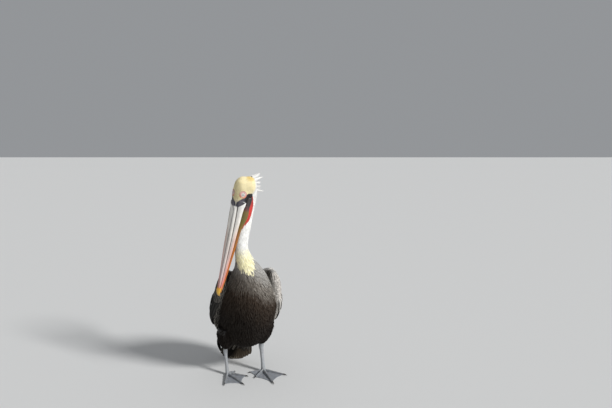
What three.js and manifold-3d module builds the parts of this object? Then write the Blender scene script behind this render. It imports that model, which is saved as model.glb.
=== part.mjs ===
// A brown pelican at life size, standing at rest with its bill laid down along its neck.
// Millimetres, +Z up. The bird looks towards -Y, and its left side is on +X.
// Each part is a loft through a few named stations, joined and parted with thin cuts.
import * as THREE from "three";
import { mergeVertices } from "three/addons/utils/BufferGeometryUtils.js";
import Module from "manifold-3d";

const wasm = await Module();
wasm.setup();

// ---------- driving dimensions ----------
const GAP = 0.4; // the thin cut between neighbouring pieces
const STANCE = { x: 5.5, y: 20 }; // the point on the floor midway between the heels
const BODY_TURN = 14; // degrees the breast is turned from -Y towards +X
const TRUNK_SLOPE = 60; // degrees between the trunk's axis and the floor
const TRUNK_MIDDLE = { forward: 16, up: 286 };
const BILL_BASE = [-14.1, -112, 657.5]; // the ridge of the bill where the forehead feathers end
const BILL_TIP = [-82, -143, 353];
const HEAD_TURN = 27; // degrees the top of the head is turned from -Y towards -X
const EYE_RADIUS = 7.2;
const NECK_CUTS = [{ up: 456 }, { up: 560 }, { up: 655 }]; // trunk, lower neck, upper neck, head
const WING_TIP_CUT = -150; // along the trunk's axis, where the flight feathers leave the wing
const BETWEEN_WINGS = 5; // degrees that the cut between the wings is turned
const SIDES = { spine: 22, head: 18, wing: 16, tail: 14, thigh: 12, toe: 6, leg: 8, crest: 5 };

// ---------- small helpers ----------
const radians = THREE.MathUtils.degToRad;
const vector = (a) => new THREE.Vector3(...a);
const mix = THREE.MathUtils.lerp;

// A smooth curve through the numbers of a list, at the place t from 0 to its last index.
function through(list, t) {
  const i = Math.min(Math.floor(t), list.length - 2);
  const at = (k) => list[Math.max(0, Math.min(list.length - 1, k))];
  const [a, b, c, d] = [at(i - 1), at(i), at(i + 1), at(i + 2)];
  const u = t - i;
  return b + 0.5 * u * (c - a + u * (2 * a - 5 * b + 4 * c - d + u * (3 * (b - c) + d - a)));
}

// The station at the place t along a list of stations that all have the same fields.
function stationAt(stations, t) {
  const found = {};
  for (const key of Object.keys(stations[0])) {
    found[key] = through(stations.map((s) => s[key]), t);
  }
  return found;
}

// A closed solid from rings of points: sides between the rings, and a fan over each end.
function skinned(rings) {
  const sides = rings[0].length;
  const places = rings.flat().flatMap((p) => [p.x, p.y, p.z]);
  const faces = [];
  for (let r = 0; r + 1 < rings.length; r++) {
    for (let s = 0; s < sides; s++) {
      const [a, b] = [r * sides + s, r * sides + ((s + 1) % sides)];
      faces.push(a, b, b + sides, a, b + sides, a + sides);
    }
  }
  for (const [ring, first] of [[rings[0], 0], [rings.at(-1), (rings.length - 1) * sides]]) {
    const centre = ring.reduce((sum, p) => sum.add(p), new THREE.Vector3()).divideScalar(sides);
    places.push(centre.x, centre.y, centre.z);
    const hub = places.length / 3 - 1;
    for (let s = 0; s < sides; s++) {
      const [a, b] = [first + s, first + ((s + 1) % sides)];
      faces.push(...(first ? [a, b, hub] : [b, a, hub]));
    }
  }
  const made = solidFrom(new Float32Array(places), new Uint32Array(faces));
  return made.volume() > 0 ? made : solidFrom(new Float32Array(places), new Uint32Array(faces).reverse());
}

function solidFrom(vertProperties, triVerts) {
  const mesh = new wasm.Mesh({ numProp: 3, vertProperties, triVerts });
  return new wasm.Manifold(mesh);
}

// A three.js geometry as a solid.
function solidOf(geometry) {
  const bare = geometry.clone();
  bare.deleteAttribute("normal");
  bare.deleteAttribute("uv");
  const merged = mergeVertices(bare, 1e-4);
  return solidFrom(merged.attributes.position.array, new Uint32Array(merged.index.array));
}

// An oval ring: wide along one vector, and high or deep along the other.
function oval(centre, wideAlong, highAlong, { wide, high, deep }, sides) {
  return Array.from({ length: sides }, (_, k) => {
    const angle = (k / sides) * 2 * Math.PI;
    const [c, s] = [Math.cos(angle), Math.sin(angle)];
    const tall = s > 0 ? high : deep;
    return centre.clone().addScaledVector(wideAlong, wide * c).addScaledVector(highAlong, tall * s);
  });
}

const halfSpaceBox = new THREE.BoxGeometry(2000, 2000, 2000);

// Everything on one side of a plane, as a large box: the side that the normal points to.
function sideOf(point, normal) {
  const box = halfSpaceBox.clone();
  box.translate(0, 0, 1000);
  const way = normal.clone().normalize();
  box.applyQuaternion(new THREE.Quaternion().setFromUnitVectors(new THREE.Vector3(0, 0, 1), way));
  box.translate(point.x, point.y, point.z);
  return solidOf(box);
}

// ---------- the frames that the stations are written in ----------
const turn = radians(BODY_TURN);
const AHEAD = new THREE.Vector3(Math.sin(turn), -Math.cos(turn), 0);
const LEFT = new THREE.Vector3(Math.cos(turn), Math.sin(turn), 0);
const UP = new THREE.Vector3(0, 0, 1);

// A point of the body: forward and to its left from the stance, and above the floor.
function bodyPoint(forward, left, up) {
  const foot = new THREE.Vector3(STANCE.x, STANCE.y, up);
  return foot.addScaledVector(AHEAD, forward).addScaledVector(LEFT, left);
}

const slope = radians(TRUNK_SLOPE);
// ALONG runs from the tail to the neck, and BACKWARD out of the back.
const ALONG = AHEAD.clone().multiplyScalar(Math.cos(slope)).addScaledVector(UP, Math.sin(slope));
const BACKWARD = AHEAD.clone().multiplyScalar(-Math.sin(slope)).addScaledVector(UP, Math.cos(slope));

// A point in the trunk's own frame: along its axis, out to the left, and out of the back.
function trunkPoint(along, out, back) {
  return bodyPoint(TRUNK_MIDDLE.forward, 0, TRUNK_MIDDLE.up)
    .addScaledVector(ALONG, along)
    .addScaledVector(LEFT, out)
    .addScaledVector(BACKWARD, back);
}

const billRun = vector(BILL_TIP).sub(vector(BILL_BASE));
const BILL_LENGTH = billRun.length();
const FACING = billRun.clone().normalize(); // from the head to the bill's tip
const CROWN = new THREE.Vector3(-Math.sin(radians(HEAD_TURN)), -Math.cos(radians(HEAD_TURN)), 0);
CROWN.addScaledVector(FACING, -CROWN.dot(FACING)).normalize(); // out of the top of the head
const CHEEK = CROWN.clone().cross(FACING); // out of its left side
const RIDGE = 15; // the bill's height over the line of the gape, at its base
const HEAD_ORIGIN = vector(BILL_BASE).addScaledVector(CROWN, -RIDGE);

// A point of the head or bill: along the bill, out of the left cheek, and out of the crown.
function headPoint(along, cheek, crown) {
  return HEAD_ORIGIN.clone()
    .addScaledVector(FACING, along)
    .addScaledVector(CHEEK, cheek)
    .addScaledVector(CROWN, crown);
}

// ---------- trunk and neck: one loft from the tail's root to the back of the head ----------
// high is towards the back and nape, deep towards the belly and throat
const SPINE = [
  { forward: -88, left: -4, up: 80, wide: 24, high: 11, deep: 15 },
  { forward: -78, left: -3, up: 114, wide: 60, high: 36, deep: 50 },
  { forward: -52, left: -1, up: 164, wide: 92, high: 66, deep: 93 },
  { forward: -18, left: 0, up: 224, wide: 105, high: 86, deep: 103 },
  { forward: 16, left: 1, up: 286, wide: 107, high: 92, deep: 104 },
  { forward: 48, left: -3, up: 344, wide: 92, high: 84, deep: 94 },
  { forward: 76, left: -6, up: 396, wide: 63, high: 66, deep: 68 },
  { forward: 97, left: -16, up: 442, wide: 39, high: 42, deep: 41 },
  { forward: 108, left: -27, up: 482, wide: 27, high: 29, deep: 29 },
  { forward: 112, left: -31, up: 514, wide: 24, high: 25, deep: 25 },
  { forward: 108, left: -26, up: 548, wide: 23, high: 25, deep: 24 },
  { forward: 97, left: -17, up: 584, wide: 23.5, high: 25, deep: 24 },
  { forward: 88, left: -9, up: 620, wide: 24, high: 26, deep: 24 },
  { forward: 82, left: -2, up: 656, wide: 25.5, high: 27, deep: 25 },
  { forward: 80, left: 4, up: 690, wide: 27, high: 27, deep: 25 },
  { forward: 82, left: 3, up: 716, wide: 25, high: 23, deep: 22 },
];
const NECK_TWIST = { from: 7, to: 14, degrees: -32 }; // the nape turns with the head

function spineRings(grow) {
  const steps = 2; // rings for each station
  const count = Math.round((SPINE.length - 1) * steps);
  const centre = (t) => {
    const s = stationAt(SPINE, Math.max(0, Math.min(SPINE.length - 1, t)));
    return bodyPoint(s.forward, s.left, s.up);
  };
  return Array.from({ length: count + 1 }, (_, k) => {
    const t = (k / count) * (SPINE.length - 1);
    const size = stationAt(SPINE, t);
    const along = centre(t + 0.25).sub(centre(t - 0.25)).normalize();
    const share = THREE.MathUtils.smoothstep(t, NECK_TWIST.from, NECK_TWIST.to);
    const left = LEFT.clone().applyAxisAngle(UP, radians(NECK_TWIST.degrees * share));
    const back = along.clone().cross(left).normalize();
    const across = back.clone().cross(along).normalize();
    const grown = { wide: size.wide + grow, high: size.high + grow, deep: size.deep + grow };
    return oval(centre(t), across, back, grown, SIDES.spine);
  });
}

// ---------- head ----------
// back is the distance behind the bill's base; wide at the cheeks, high over and deep under the gape,
// and brow the share by which the face narrows between the eyes
const HEAD = [
  { back: -8, wide: 26, high: 15, deep: 12, brow: 0 },
  { back: 2, wide: 29, high: 17, deep: 18, brow: 0.1 },
  { back: 18, wide: 31, high: 20, deep: 24, brow: 0.22 },
  { back: 38, wide: 32, high: 23.5, deep: 28, brow: 0.2 },
  { back: 58, wide: 30, high: 27, deep: 28, brow: 0.08 },
  { back: 78, wide: 26, high: 28, deep: 25, brow: 0 },
  { back: 92, wide: 18.5, high: 21, deep: 18, brow: 0 },
  { back: 101, wide: 8, high: 10, deep: 9, brow: 0 },
];
const NAPE = { at: [27, -66, 720], radii: [30, 42, 36] };

function headRings(grow) {
  const count = 12;
  return Array.from({ length: count + 1 }, (_, k) => {
    const size = stationAt(HEAD, (k / count) * (HEAD.length - 1));
    const centre = headPoint(-size.back, 0, 0);
    return Array.from({ length: SIDES.head }, (_, i) => {
      const angle = (i / SIDES.head) * 2 * Math.PI;
      const [c, s] = [Math.cos(angle), Math.sin(angle)];
      const wide = size.wide * (1 - size.brow * Math.max(0, s)) + grow;
      const tall = (s > 0 ? size.high : size.deep) + grow;
      return centre.clone().addScaledVector(CHEEK, wide * c).addScaledVector(CROWN, tall * s);
    });
  });
}

// ---------- bill ----------
// share is the distance along the bill, wide half its width and high its ridge over the gape; jaw is
// the lower bill's depth and flare how far it stands out; bag is half the pouch's width and pouch its keel
const BILL = [
  { share: 0, wide: 28.5, high: 17, jaw: 14, flare: 2.5, bag: 37, pouch: 48 },
  { share: 0.1, wide: 27.5, high: 13, jaw: 13, flare: 3, bag: 36, pouch: 45 },
  { share: 0.25, wide: 24.5, high: 10, jaw: 12, flare: 3.5, bag: 28, pouch: 34 },
  { share: 0.45, wide: 21, high: 8, jaw: 10, flare: 3, bag: 21, pouch: 22 },
  { share: 0.65, wide: 16.5, high: 7, jaw: 8, flare: 2, bag: 15, pouch: 14 },
  { share: 0.82, wide: 12.5, high: 6.5, jaw: 5.5, flare: 1, bag: 11, pouch: 9 },
  { share: 0.93, wide: 9.2, high: 6.2, jaw: 4.4, flare: 0.4, bag: 7.8, pouch: 6.4 },
  { share: 1, wide: 6, high: 6, jaw: 3.4, flare: 0, bag: 4, pouch: 4.4 },
];
const NAIL_START = 0.93; // where the hooked nail begins

function billAt(share) {
  const place = BILL.findIndex((s, i) => i > 0 && share <= s.share);
  const i = place < 0 ? BILL.length - 2 : place - 1;
  const t = i + (share - BILL[i].share) / (BILL[i + 1].share - BILL[i].share);
  return stationAt(BILL, Math.min(t, BILL.length - 1));
}

// Half a bill's outline from the cheek's edge over the top: shares of its width and height.
const UPPER_PROFILE = [
  [1, 0.02], [0.97, 0.22], [0.84, 0.4], [0.5, 0.56], [0.33, 0.52], [0.25, 0.7], [0.12, 0.93], [0, 1],
];

function upperBillRing(share) {
  const size = billAt(share);
  const half = UPPER_PROFILE.map(([w, h]) => [w * size.wide, h * size.high]);
  const other = half.slice(0, -1).reverse().map(([w, h]) => [-w, h]);
  return [...half, ...other].map(([w, h]) => headPoint(share * BILL_LENGTH, w, h + GAP / 2));
}

function upperBill() {
  const shares = [0, 0.05, 0.1, 0.18, 0.27, 0.36, 0.46, 0.56, 0.66, 0.76, 0.85, NAIL_START];
  const inHead = upperBillRing(0).map((p) => p.addScaledVector(FACING, -14));
  return skinned([inHead, ...shares.map(upperBillRing)]);
}

// The nail: an oval tube that bends down over the tip of the lower bill.
function billNail() {
  const start = NAIL_START * BILL_LENGTH + GAP;
  const stations = [
    { along: 0, sink: 0, wide: 9.4, high: 6 },
    { along: 9, sink: 0, wide: 7.8, high: 6 },
    { along: 17, sink: 1.5, wide: 6.2, high: 5.6 },
    { along: 23, sink: 6, wide: 4.6, high: 4.6 },
    { along: 25, sink: 12, wide: 2.6, high: 2.6 },
  ];
  const rings = stations.map(({ along, sink, wide, high }, i) => {
    const bend = radians([0, 4, 28, 62, 84][i]);
    const across = CROWN.clone().multiplyScalar(Math.cos(bend)).addScaledVector(FACING, Math.sin(bend));
    const centre = headPoint(start + along, 0, high * 0.5 + GAP - sink);
    return oval(centre, CHEEK, across, { wide, high: high * 0.5, deep: high * 0.5 }, 12);
  });
  return skinned(rings);
}

// The lower bill: two bars that stand out under the edges of the upper bill, joined by its floor.
function lowerBill(grow) {
  const first = -0.09;
  const last = 0.975;
  const rings = Array.from({ length: 13 }, (_, k) => {
    const share = mix(first, last, k / 12);
    const size = billAt(Math.max(0, share));
    const [wide, jaw, flare] = [size.wide + grow, size.jaw + grow, size.flare];
    const dip = share < 0 ? 6 * (share / first) : 0; // the jaw sinks under the cheek
    const half = [
      [0, -GAP], [wide, -GAP], [wide + flare * 0.6, -jaw * 0.4], [wide + flare, -jaw * 0.8],
      [wide + flare * 0.7, -jaw], [size.wide - 3, -jaw],
    ];
    const other = half.slice(1).reverse().map(([w, h]) => [-w, h]);
    return [...half, ...other].map(([w, h]) => headPoint(share * BILL_LENGTH, w, h - dip));
  });
  return skinned(rings);
}

// The pouch: a bag of skin that hangs under the lower bill and spreads against the neck.
function pouch() {
  const first = -0.13;
  const last = 0.93;
  const sides = 10;
  const rings = Array.from({ length: 14 }, (_, k) => {
    const share = mix(first, last, k / 13);
    const size = billAt(Math.max(0, share));
    const rise = share < 0 ? share / first : 0; // from 0 at the bill's base to 1 at the pouch's end
    const top = size.jaw + GAP + 6 * rise;
    const keel = Math.max(top + 3, size.pouch * (1 - 0.25 * rise));
    const lip = size.wide - 1.5;
    return Array.from({ length: sides }, (_, s) => {
      const side = (s / (sides - 1)) * 2 - 1; // from the right lip round the keel to the left lip
      const sweep = Math.cos((side * Math.PI) / 2);
      const bulge = (size.bag - lip) * Math.sin(Math.PI * Math.pow(1 - Math.abs(side), 0.7));
      const spread = Math.pow(Math.abs(Math.sin((side * Math.PI) / 2)), 0.7);
      const across = Math.sign(side) * (lip * spread + bulge);
      return headPoint(share * BILL_LENGTH, across, -(top + (keel - top) * Math.pow(sweep, 0.8)));
    });
  });
  return skinned(rings);
}

// ---------- eyes ----------
const EYE = { back: 41, cheek: 19.2, crown: 12.5 };

function eyeBall(side, grow) {
  const ball = new THREE.SphereGeometry(EYE_RADIUS + grow, 12, 8);
  const at = headPoint(-EYE.back, side * EYE.cheek, EYE.crown);
  return solidOf(ball.translate(at.x, at.y, at.z));
}

// ---------- crest: a ragged fan of feathers on the nape ----------
const CREST = {
  count: 6, length: 40, lowest: 704, highest: 744,
  stations: [
    { share: 0, wide: 4.4, high: 6.4 },
    { share: 0.35, wide: 4, high: 5.6 },
    { share: 0.7, wide: 2.6, high: 3.4 },
    { share: 0.95, wide: 0.9, high: 0.8 },
  ],
};

function crest() {
  const plumes = Array.from({ length: CREST.count }, (_, k) => {
    const share = k / (CREST.count - 1);
    const root = bodyPoint(66 - 4 * share, 17, mix(CREST.lowest, CREST.highest, share));
    const away = new THREE.Vector3(0.82, 0.5, mix(-0.15, 0.42, share)).normalize();
    const across = new THREE.Vector3(0.5, -0.82, 0).normalize();
    const upright = away.clone().cross(across).normalize();
    const reach = CREST.length * (0.82 + 0.18 * Math.cos(k * 2.1));
    const rings = CREST.stations.map(({ share: place, wide, high }) => {
      const centre = root.clone().addScaledVector(away, reach * place);
      return oval(centre, across, upright, { wide, high, deep: high }, SIDES.crest);
    });
    return skinned(rings);
  });
  return wasm.Manifold.union(plumes);
}

// ---------- wings ----------
// Stations lie across the trunk's axis. lean turns the line from the lower to the upper edge.
const WING = [
  { along: 134, out: 88, back: 18, chord: 12, bulge: 8, inner: 8, lean: 100 },
  { along: 119, out: 85, back: 20, chord: 30, bulge: 17, inner: 16, lean: 112 },
  { along: 85, out: 79, back: 24, chord: 54, bulge: 31, inner: 20, lean: 119 },
  { along: 40, out: 68, back: 30, chord: 72, bulge: 45, inner: 14, lean: 124 },
  { along: -10, out: 62, back: 34, chord: 82, bulge: 50, inner: 10, lean: 128 },
  { along: -70, out: 58, back: 38, chord: 80, bulge: 46, inner: 10, lean: 131 },
  { along: -130, out: 50, back: 40, chord: 67, bulge: 36, inner: 10, lean: 134 },
  { along: -190, out: 38, back: 44, chord: 50, bulge: 24, inner: 10, lean: 138 },
  { along: -245, out: 28, back: 46, chord: 33, bulge: 13, inner: 8, lean: 141 },
  { along: -296, out: 20, back: 42, chord: 19, bulge: 7, inner: 5, lean: 143 },
  { along: -332, out: 15, back: 38, chord: 5, bulge: 2.5, inner: 2.5, lean: 143 },
];
const TIP_SWING = { from: -120, to: -330, left: -26 }; // both wing tips lie towards the tail's side
const RIGHT_WING_HANG = { from: 60, middle: -90, to: -260, out: 13 }; // it hangs a little lower and wider

// How far the right wing stands out at a place along the trunk's axis.
function hang(along) {
  const { from, middle: most, to, out } = RIGHT_WING_HANG;
  const rise = THREE.MathUtils.smoothstep(-along, -from, -most);
  return out * rise * (1 - THREE.MathUtils.smoothstep(-along, -most, -to));
}

function wing(side, grow) {
  const count = 15;
  const rings = Array.from({ length: count + 1 }, (_, k) => {
    const s = stationAt(WING, (k / count) * (WING.length - 1));
    s.out += side < 0 ? hang(s.along) : 0;
    const lean = radians(s.lean);
    const [c, n] = [Math.cos(lean), Math.sin(lean)];
    const chord = LEFT.clone().multiplyScalar(side * c).addScaledVector(BACKWARD, n);
    const outward = LEFT.clone().multiplyScalar(side * n).addScaledVector(BACKWARD, -c);
    const swing = TIP_SWING.left * THREE.MathUtils.smoothstep(-s.along, -TIP_SWING.from, -TIP_SWING.to);
    return oval(trunkPoint(s.along, side * s.out + swing, s.back), chord, outward,
      { wide: s.chord + grow, high: s.bulge + grow, deep: s.inner + grow }, SIDES.wing);
  });
  return skinned(rings);
}

// ---------- tail: a shallow fan that rests on the floor ----------
const TAIL = {
  root: [-72, -8, 126],
  tip: [-140, -52, -3],
  arch: 0.0016, // how fast it falls away from its middle
  stations: [
    { share: 0, wide: 26, thick: 9 },
    { share: 0.25, wide: 46, thick: 7 },
    { share: 0.45, wide: 61, thick: 5 },
    { share: 0.6, wide: 66, thick: 4 },
    { share: 0.74, wide: 62, thick: 3.6 },
    { share: 0.86, wide: 49, thick: 3.4 },
    { share: 0.95, wide: 32, thick: 3 },
    { share: 1, wide: 14, thick: 2.6 },
  ],
};

function tail(grow) {
  const [root, tip] = [bodyPoint(...TAIL.root), bodyPoint(...TAIL.tip)];
  const run = tip.clone().sub(root);
  const facing = LEFT.clone().cross(run).normalize(); // out of its upper face
  const across = run.clone().cross(facing).normalize();
  const rings = TAIL.stations.map(({ share, wide, thick }) => {
    const centre = root.clone().addScaledVector(run, share);
    const high = thick + grow;
    return oval(centre, across, facing, { wide: wide + grow, high, deep: high }, SIDES.tail)
      .map((p) => p.addScaledVector(facing, -TAIL.arch * p.distanceToSquared(centre)));
  });
  return skinned(rings);
}

// ---------- legs and feet ----------
const LEGS = {
  right: {
    hip: [-6, -74, 186], heel: [-79, 17, 88], toeBase: [-71, 5],
    tips: [[-44, 27], [11, -15], [4, -83], [-69, -87]],
  },
  left: {
    hip: [2, 60, 196], heel: [54, 46, 98], toeBase: [62, 34],
    tips: [[6, 15], [34, -28], [110, -76], [154, -5]],
  },
};
const TOE_WIDTHS = [3.4, 4.4, 5, 4.6]; // hind toe first, half widths at the root
const CLAW_SHARE = 0.87; // where a toe ends and its claw begins
const WEB = { thick: 2.4, scallop: 0.16 };
const ANKLE_CUT = 13; // height of the cut between the foot and the shank
const KNEE_CUT = 10; // height over the heel of the cut between the shank and the thigh

const floorPoint = ([x, y], up = 0) => new THREE.Vector3(x, y, up);

function limb(points, sizes, sides) {
  const rings = points.map((p, i) => {
    const [before, after] = [points[Math.max(i - 1, 0)], points[Math.min(i + 1, points.length - 1)]];
    const along = after.clone().sub(before).normalize();
    const left = Math.abs(along.z) > 0.9 ? new THREE.Vector3(1, 0, 0) : along.clone().cross(UP);
    const back = along.clone().cross(left).normalize();
    const [wide, high] = sizes[i];
    return oval(p, back.clone().cross(along), back, { wide, high, deep: high }, sides);
  });
  return skinned(rings);
}

function thigh({ hip: place, heel }) {
  const hip = bodyPoint(...place);
  const knee = vector(heel).add(new THREE.Vector3(2, -6, 12));
  const points = [0, 0.3, 0.6, 0.85, 1].map((s) => hip.clone().lerp(knee, s));
  return limb(points, [[40, 46], [40, 46], [33, 36], [22, 23], [12, 13]], SIDES.thigh);
}

function leg({ toeBase, heel }) {
  const [foot, top] = [floorPoint(toeBase, 8), vector(heel)];
  const above = top.clone().add(new THREE.Vector3(3, -9, 26));
  const points = [foot, ...[0.12, 0.4, 0.75, 0.93].map((s) => foot.clone().lerp(top, s)), top, above];
  return limb(points, [[6.5, 6], [6, 7], [5, 7], [5.4, 7.5], [7, 8.6], [7.6, 8.8], [6, 7]], SIDES.leg);
}

// A toe runs from the root over a low knuckle to where its claw begins.
function toe(toeBase, tip, width) {
  const [root, end] = [floorPoint(toeBase, 7), floorPoint(tip, 2.6)];
  const points = [0, 0.25, 0.5, 0.72, CLAW_SHARE].map((s) => root.clone().lerp(end, s));
  const sizes = [1, 0.92, 0.8, 0.72, 0.62].map((k) => [width * k, Math.max(2.8, 6 * k - 1)]);
  return limb(points, sizes, SIDES.toe);
}

// The web between two toes, with a hollowed front edge.
function web(toeBase, tipA, tipB) {
  const [root, a, b] = [toeBase, tipA, tipB].map((p) => new THREE.Vector2(...p));
  const reach = (p) => root.clone().lerp(p, CLAW_SHARE - 0.01);
  const [endA, endB] = [reach(a), reach(b)];
  const middle = endA.clone().add(endB).multiplyScalar(0.5).lerp(root, WEB.scallop);
  const edge = new THREE.QuadraticBezierCurve(endA, middle, endB).getPoints(4);
  const outline = new THREE.Shape([root, ...edge]);
  const plate = new THREE.ExtrudeGeometry(outline, { depth: WEB.thick, bevelEnabled: false });
  const made = solidOf(plate);
  return made.volume() > 0 ? made : solidOf(new THREE.ExtrudeGeometry(
    new THREE.Shape([root, ...edge.reverse()]), { depth: WEB.thick, bevelEnabled: false }));
}

const aboveFloor = sideOf(new THREE.Vector3(), UP);

function foot({ toeBase, tips }) {
  const toes = tips.map((tip, i) => toe(toeBase, tip, TOE_WIDTHS[i]));
  const webs = [0, 1, 2].map((i) => web(toeBase, tips[i], tips[i + 1]));
  const pad = solidOf(new THREE.SphereGeometry(9, 10, 6).scale(1, 1, 0.9).translate(...toeBase, 5));
  return wasm.Manifold.union([...toes, ...webs, pad]).intersect(aboveFloor);
}

// A claw starts a cut past the end of its toe and curves down to the floor.
function claw({ toeBase, tips }, index) {
  const [root, end] = [floorPoint(toeBase, 7), floorPoint(tips[index], 2.6)];
  const run = end.clone().sub(root);
  const start = root.clone().addScaledVector(run, CLAW_SHARE).addScaledVector(run.clone().normalize(), GAP);
  const width = TOE_WIDTHS[index];
  const at = (share, rise) => start.clone().lerp(end, share).add(new THREE.Vector3(0, 0, rise));
  const points = [at(0, 0.3), at(0.4, 0.6), at(0.75, -0.2), at(1, -1.4)];
  const sizes = [[width * 0.52, 2.7], [width * 0.44, 2.3], [width * 0.28, 1.5], [0.7, 0.7]];
  return limb(points, sizes, SIDES.toe).intersect(aboveFloor);
}

// ---------- joining and parting ----------
const body = skinned(spineRings(0));
const bodyGrown = skinned(spineRings(GAP));
const napeShape = (grow) => {
  const ball = new THREE.SphereGeometry(1, 14, 8).scale(...NAPE.radii.map((r) => r + grow));
  return solidOf(ball.translate(...NAPE.at));
};
const headShape = skinned(headRings(0)).add(napeShape(0));
const headGrown = skinned(headRings(GAP)).add(napeShape(GAP));
const cuts = NECK_CUTS.map(({ up }) => new THREE.Vector3(0, 0, up));
const over = (point) => sideOf(point.clone().add(new THREE.Vector3(0, 0, GAP / 2)), UP);
const under = (point) => sideOf(point.clone().sub(new THREE.Vector3(0, 0, GAP / 2)), UP.clone().negate());

const eyes = { right: eyeBall(-1, 0), left: eyeBall(1, 0) };
const sockets = wasm.Manifold.union([eyeBall(-1, GAP), eyeBall(1, GAP)]);
const bill = { upper: upperBill(), nail: billNail(), lower: lowerBill(0), pouch: pouch() };

// The largest of the bodies that a cut leaves.
function main(solid) {
  return solid.decompose().sort((a, b) => b.volume() - a.volume())[0];
}

const headBack = body.intersect(over(cuts[2]));
const behindBill = sideOf(headPoint(-GAP, 0, 0), FACING.clone().negate());
const aheadOfHead = sideOf(headPoint(0, 0, 0), FACING);
const wholeHead = main(headShape.add(headBack).subtract(sockets).intersect(behindBill));
const neckUpper = main(body.intersect(under(cuts[2])).intersect(over(cuts[1])).subtract(headGrown));
const neckLower = main(body.intersect(under(cuts[1])).intersect(over(cuts[0])));
const trunk = main(body.intersect(under(cuts[0])).intersect(aboveFloor));

// The lower bill and pouch reach under the cheeks, so they are cut back by the head and neck.
const lower = main(bill.lower.subtract(headGrown).subtract(bodyGrown));
const pouchFree = main(bill.pouch.subtract(lowerBill(GAP)).subtract(headGrown).subtract(bodyGrown));
const upper = main(bill.upper.intersect(aheadOfHead));

const crestFree = main(crest().subtract(headGrown).subtract(bodyGrown));

const alongCut = (offset) => trunkPoint(WING_TIP_CUT + offset, 0, 0);
const towardsNeck = sideOf(alongCut(GAP / 2), ALONG);
const towardsTail = sideOf(alongCut(-GAP / 2), ALONG.clone().negate());
// The cut between the wings turns a little to follow their tips.
const sideways = (side) => {
  const across = LEFT.clone().applyAxisAngle(BACKWARD, radians(BETWEEN_WINGS));
  return sideOf(trunkPoint(-90, side * GAP / 2, 0), across.multiplyScalar(side));
};
const tailGrown = tail(GAP);

function wingPieces(side) {
  const whole = wing(side, 0).subtract(bodyGrown).intersect(sideways(side)).intersect(aboveFloor);
  return { wing: main(whole.intersect(towardsNeck)), primaries: main(whole.intersect(towardsTail)) };
}

const wings = { right: wingPieces(-1), left: wingPieces(1) };
const wingsGrown = wing(-1, GAP).add(wing(1, GAP));
const tailSolid = main(tail(0).subtract(bodyGrown).subtract(wingsGrown).intersect(aboveFloor));

// ---------- materials ----------
const finish = (color, roughness) => new THREE.MeshStandardMaterial({ color, roughness, metalness: 0 });
const MATERIALS = {
  crown: finish(0xe9dcae, 0.85),
  neck: finish(0xf0ece2, 0.85),
  belly: finish(0x3a3330, 0.9),
  silver: finish(0x8d8a86, 0.85),
  flight: finish(0x26231f, 0.8),
  horn: finish(0xd9cfc0, 0.45),
  nail: finish(0xe0b43c, 0.4),
  pouch: finish(0xb8452e, 0.6),
  jaw: finish(0x9a6a24, 0.55),
  leg: finish(0x6d7072, 0.6),
  claw: finish(0x23211f, 0.4),
  eye: finish(0xcfd2c6, 0.15),
};

const pelican = new THREE.Group();

function addPiece(name, solid, material) {
  const { vertProperties, triVerts, numProp } = solid.getMesh();
  const geometry = new THREE.BufferGeometry();
  const places = new Float32Array((vertProperties.length / numProp) * 3);
  for (let i = 0; i < places.length / 3; i++) {
    places.set(vertProperties.subarray(i * numProp, i * numProp + 3), i * 3);
  }
  geometry.setAttribute("position", new THREE.BufferAttribute(places, 3));
  geometry.setIndex(new THREE.BufferAttribute(new Uint32Array(triVerts), 1));
  geometry.computeVertexNormals();
  const mesh = new THREE.Mesh(geometry, material);
  mesh.name = name;
  pelican.add(mesh);
}

addPiece("head", wholeHead, MATERIALS.crown);
addPiece("bill_upper", upper, MATERIALS.horn);
addPiece("bill_nail", bill.nail, MATERIALS.nail);
addPiece("bill_lower", lower, MATERIALS.jaw);
addPiece("pouch", pouchFree, MATERIALS.pouch);
addPiece("crest", crestFree, MATERIALS.neck);
addPiece("neck_upper", neckUpper, MATERIALS.neck);
addPiece("neck_lower", neckLower, MATERIALS.neck);
addPiece("trunk", trunk, MATERIALS.belly);
addPiece("tail", tailSolid, MATERIALS.silver);

const down = UP.clone().negate();
for (const [name, shape] of Object.entries(LEGS)) {
  const atKnee = (rise) => vector(shape.heel).add(new THREE.Vector3(0, 0, KNEE_CUT + rise));
  const thighFree = main(thigh(shape).subtract(bodyGrown).subtract(wingsGrown).subtract(tailGrown));
  const sleeve = main(thighFree.intersect(sideOf(atKnee(GAP), UP)));
  const shank = main(main(leg(shape).subtract(bodyGrown)).intersect(sideOf(atKnee(0), down)));
  const shankFree = main(shank.intersect(sideOf(floorPoint(shape.toeBase, ANKLE_CUT), UP)));
  const footWhole = foot(shape).add(leg(shape).intersect(aboveFloor));
  const footFree = main(footWhole.intersect(sideOf(floorPoint(shape.toeBase, ANKLE_CUT - GAP), down)));
  addPiece(`eye_${name}`, eyes[name], MATERIALS.eye);
  addPiece(`wing_${name}`, wings[name].wing, MATERIALS.silver);
  addPiece(`primaries_${name}`, wings[name].primaries, MATERIALS.flight);
  addPiece(`thigh_${name}`, sleeve, MATERIALS.belly);
  addPiece(`leg_${name}`, shankFree, MATERIALS.leg);
  addPiece(`foot_${name}`, footFree, MATERIALS.leg);
  shape.tips.forEach((_, i) => addPiece(`claw_${name}_${i + 1}`, claw(shape, i), MATERIALS.claw));
}

// The origin is at the middle of the box that the bird fills, on the floor.
const box = new THREE.Box3().setFromObject(pelican);
const middle = box.getCenter(new THREE.Vector3());
pelican.position.set(-middle.x, -middle.y, -box.min.z);

export default pelican;
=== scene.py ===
import math

import bmesh
import bpy
import numpy as np
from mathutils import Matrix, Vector
from mathutils.bvhtree import BVHTree


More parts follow.
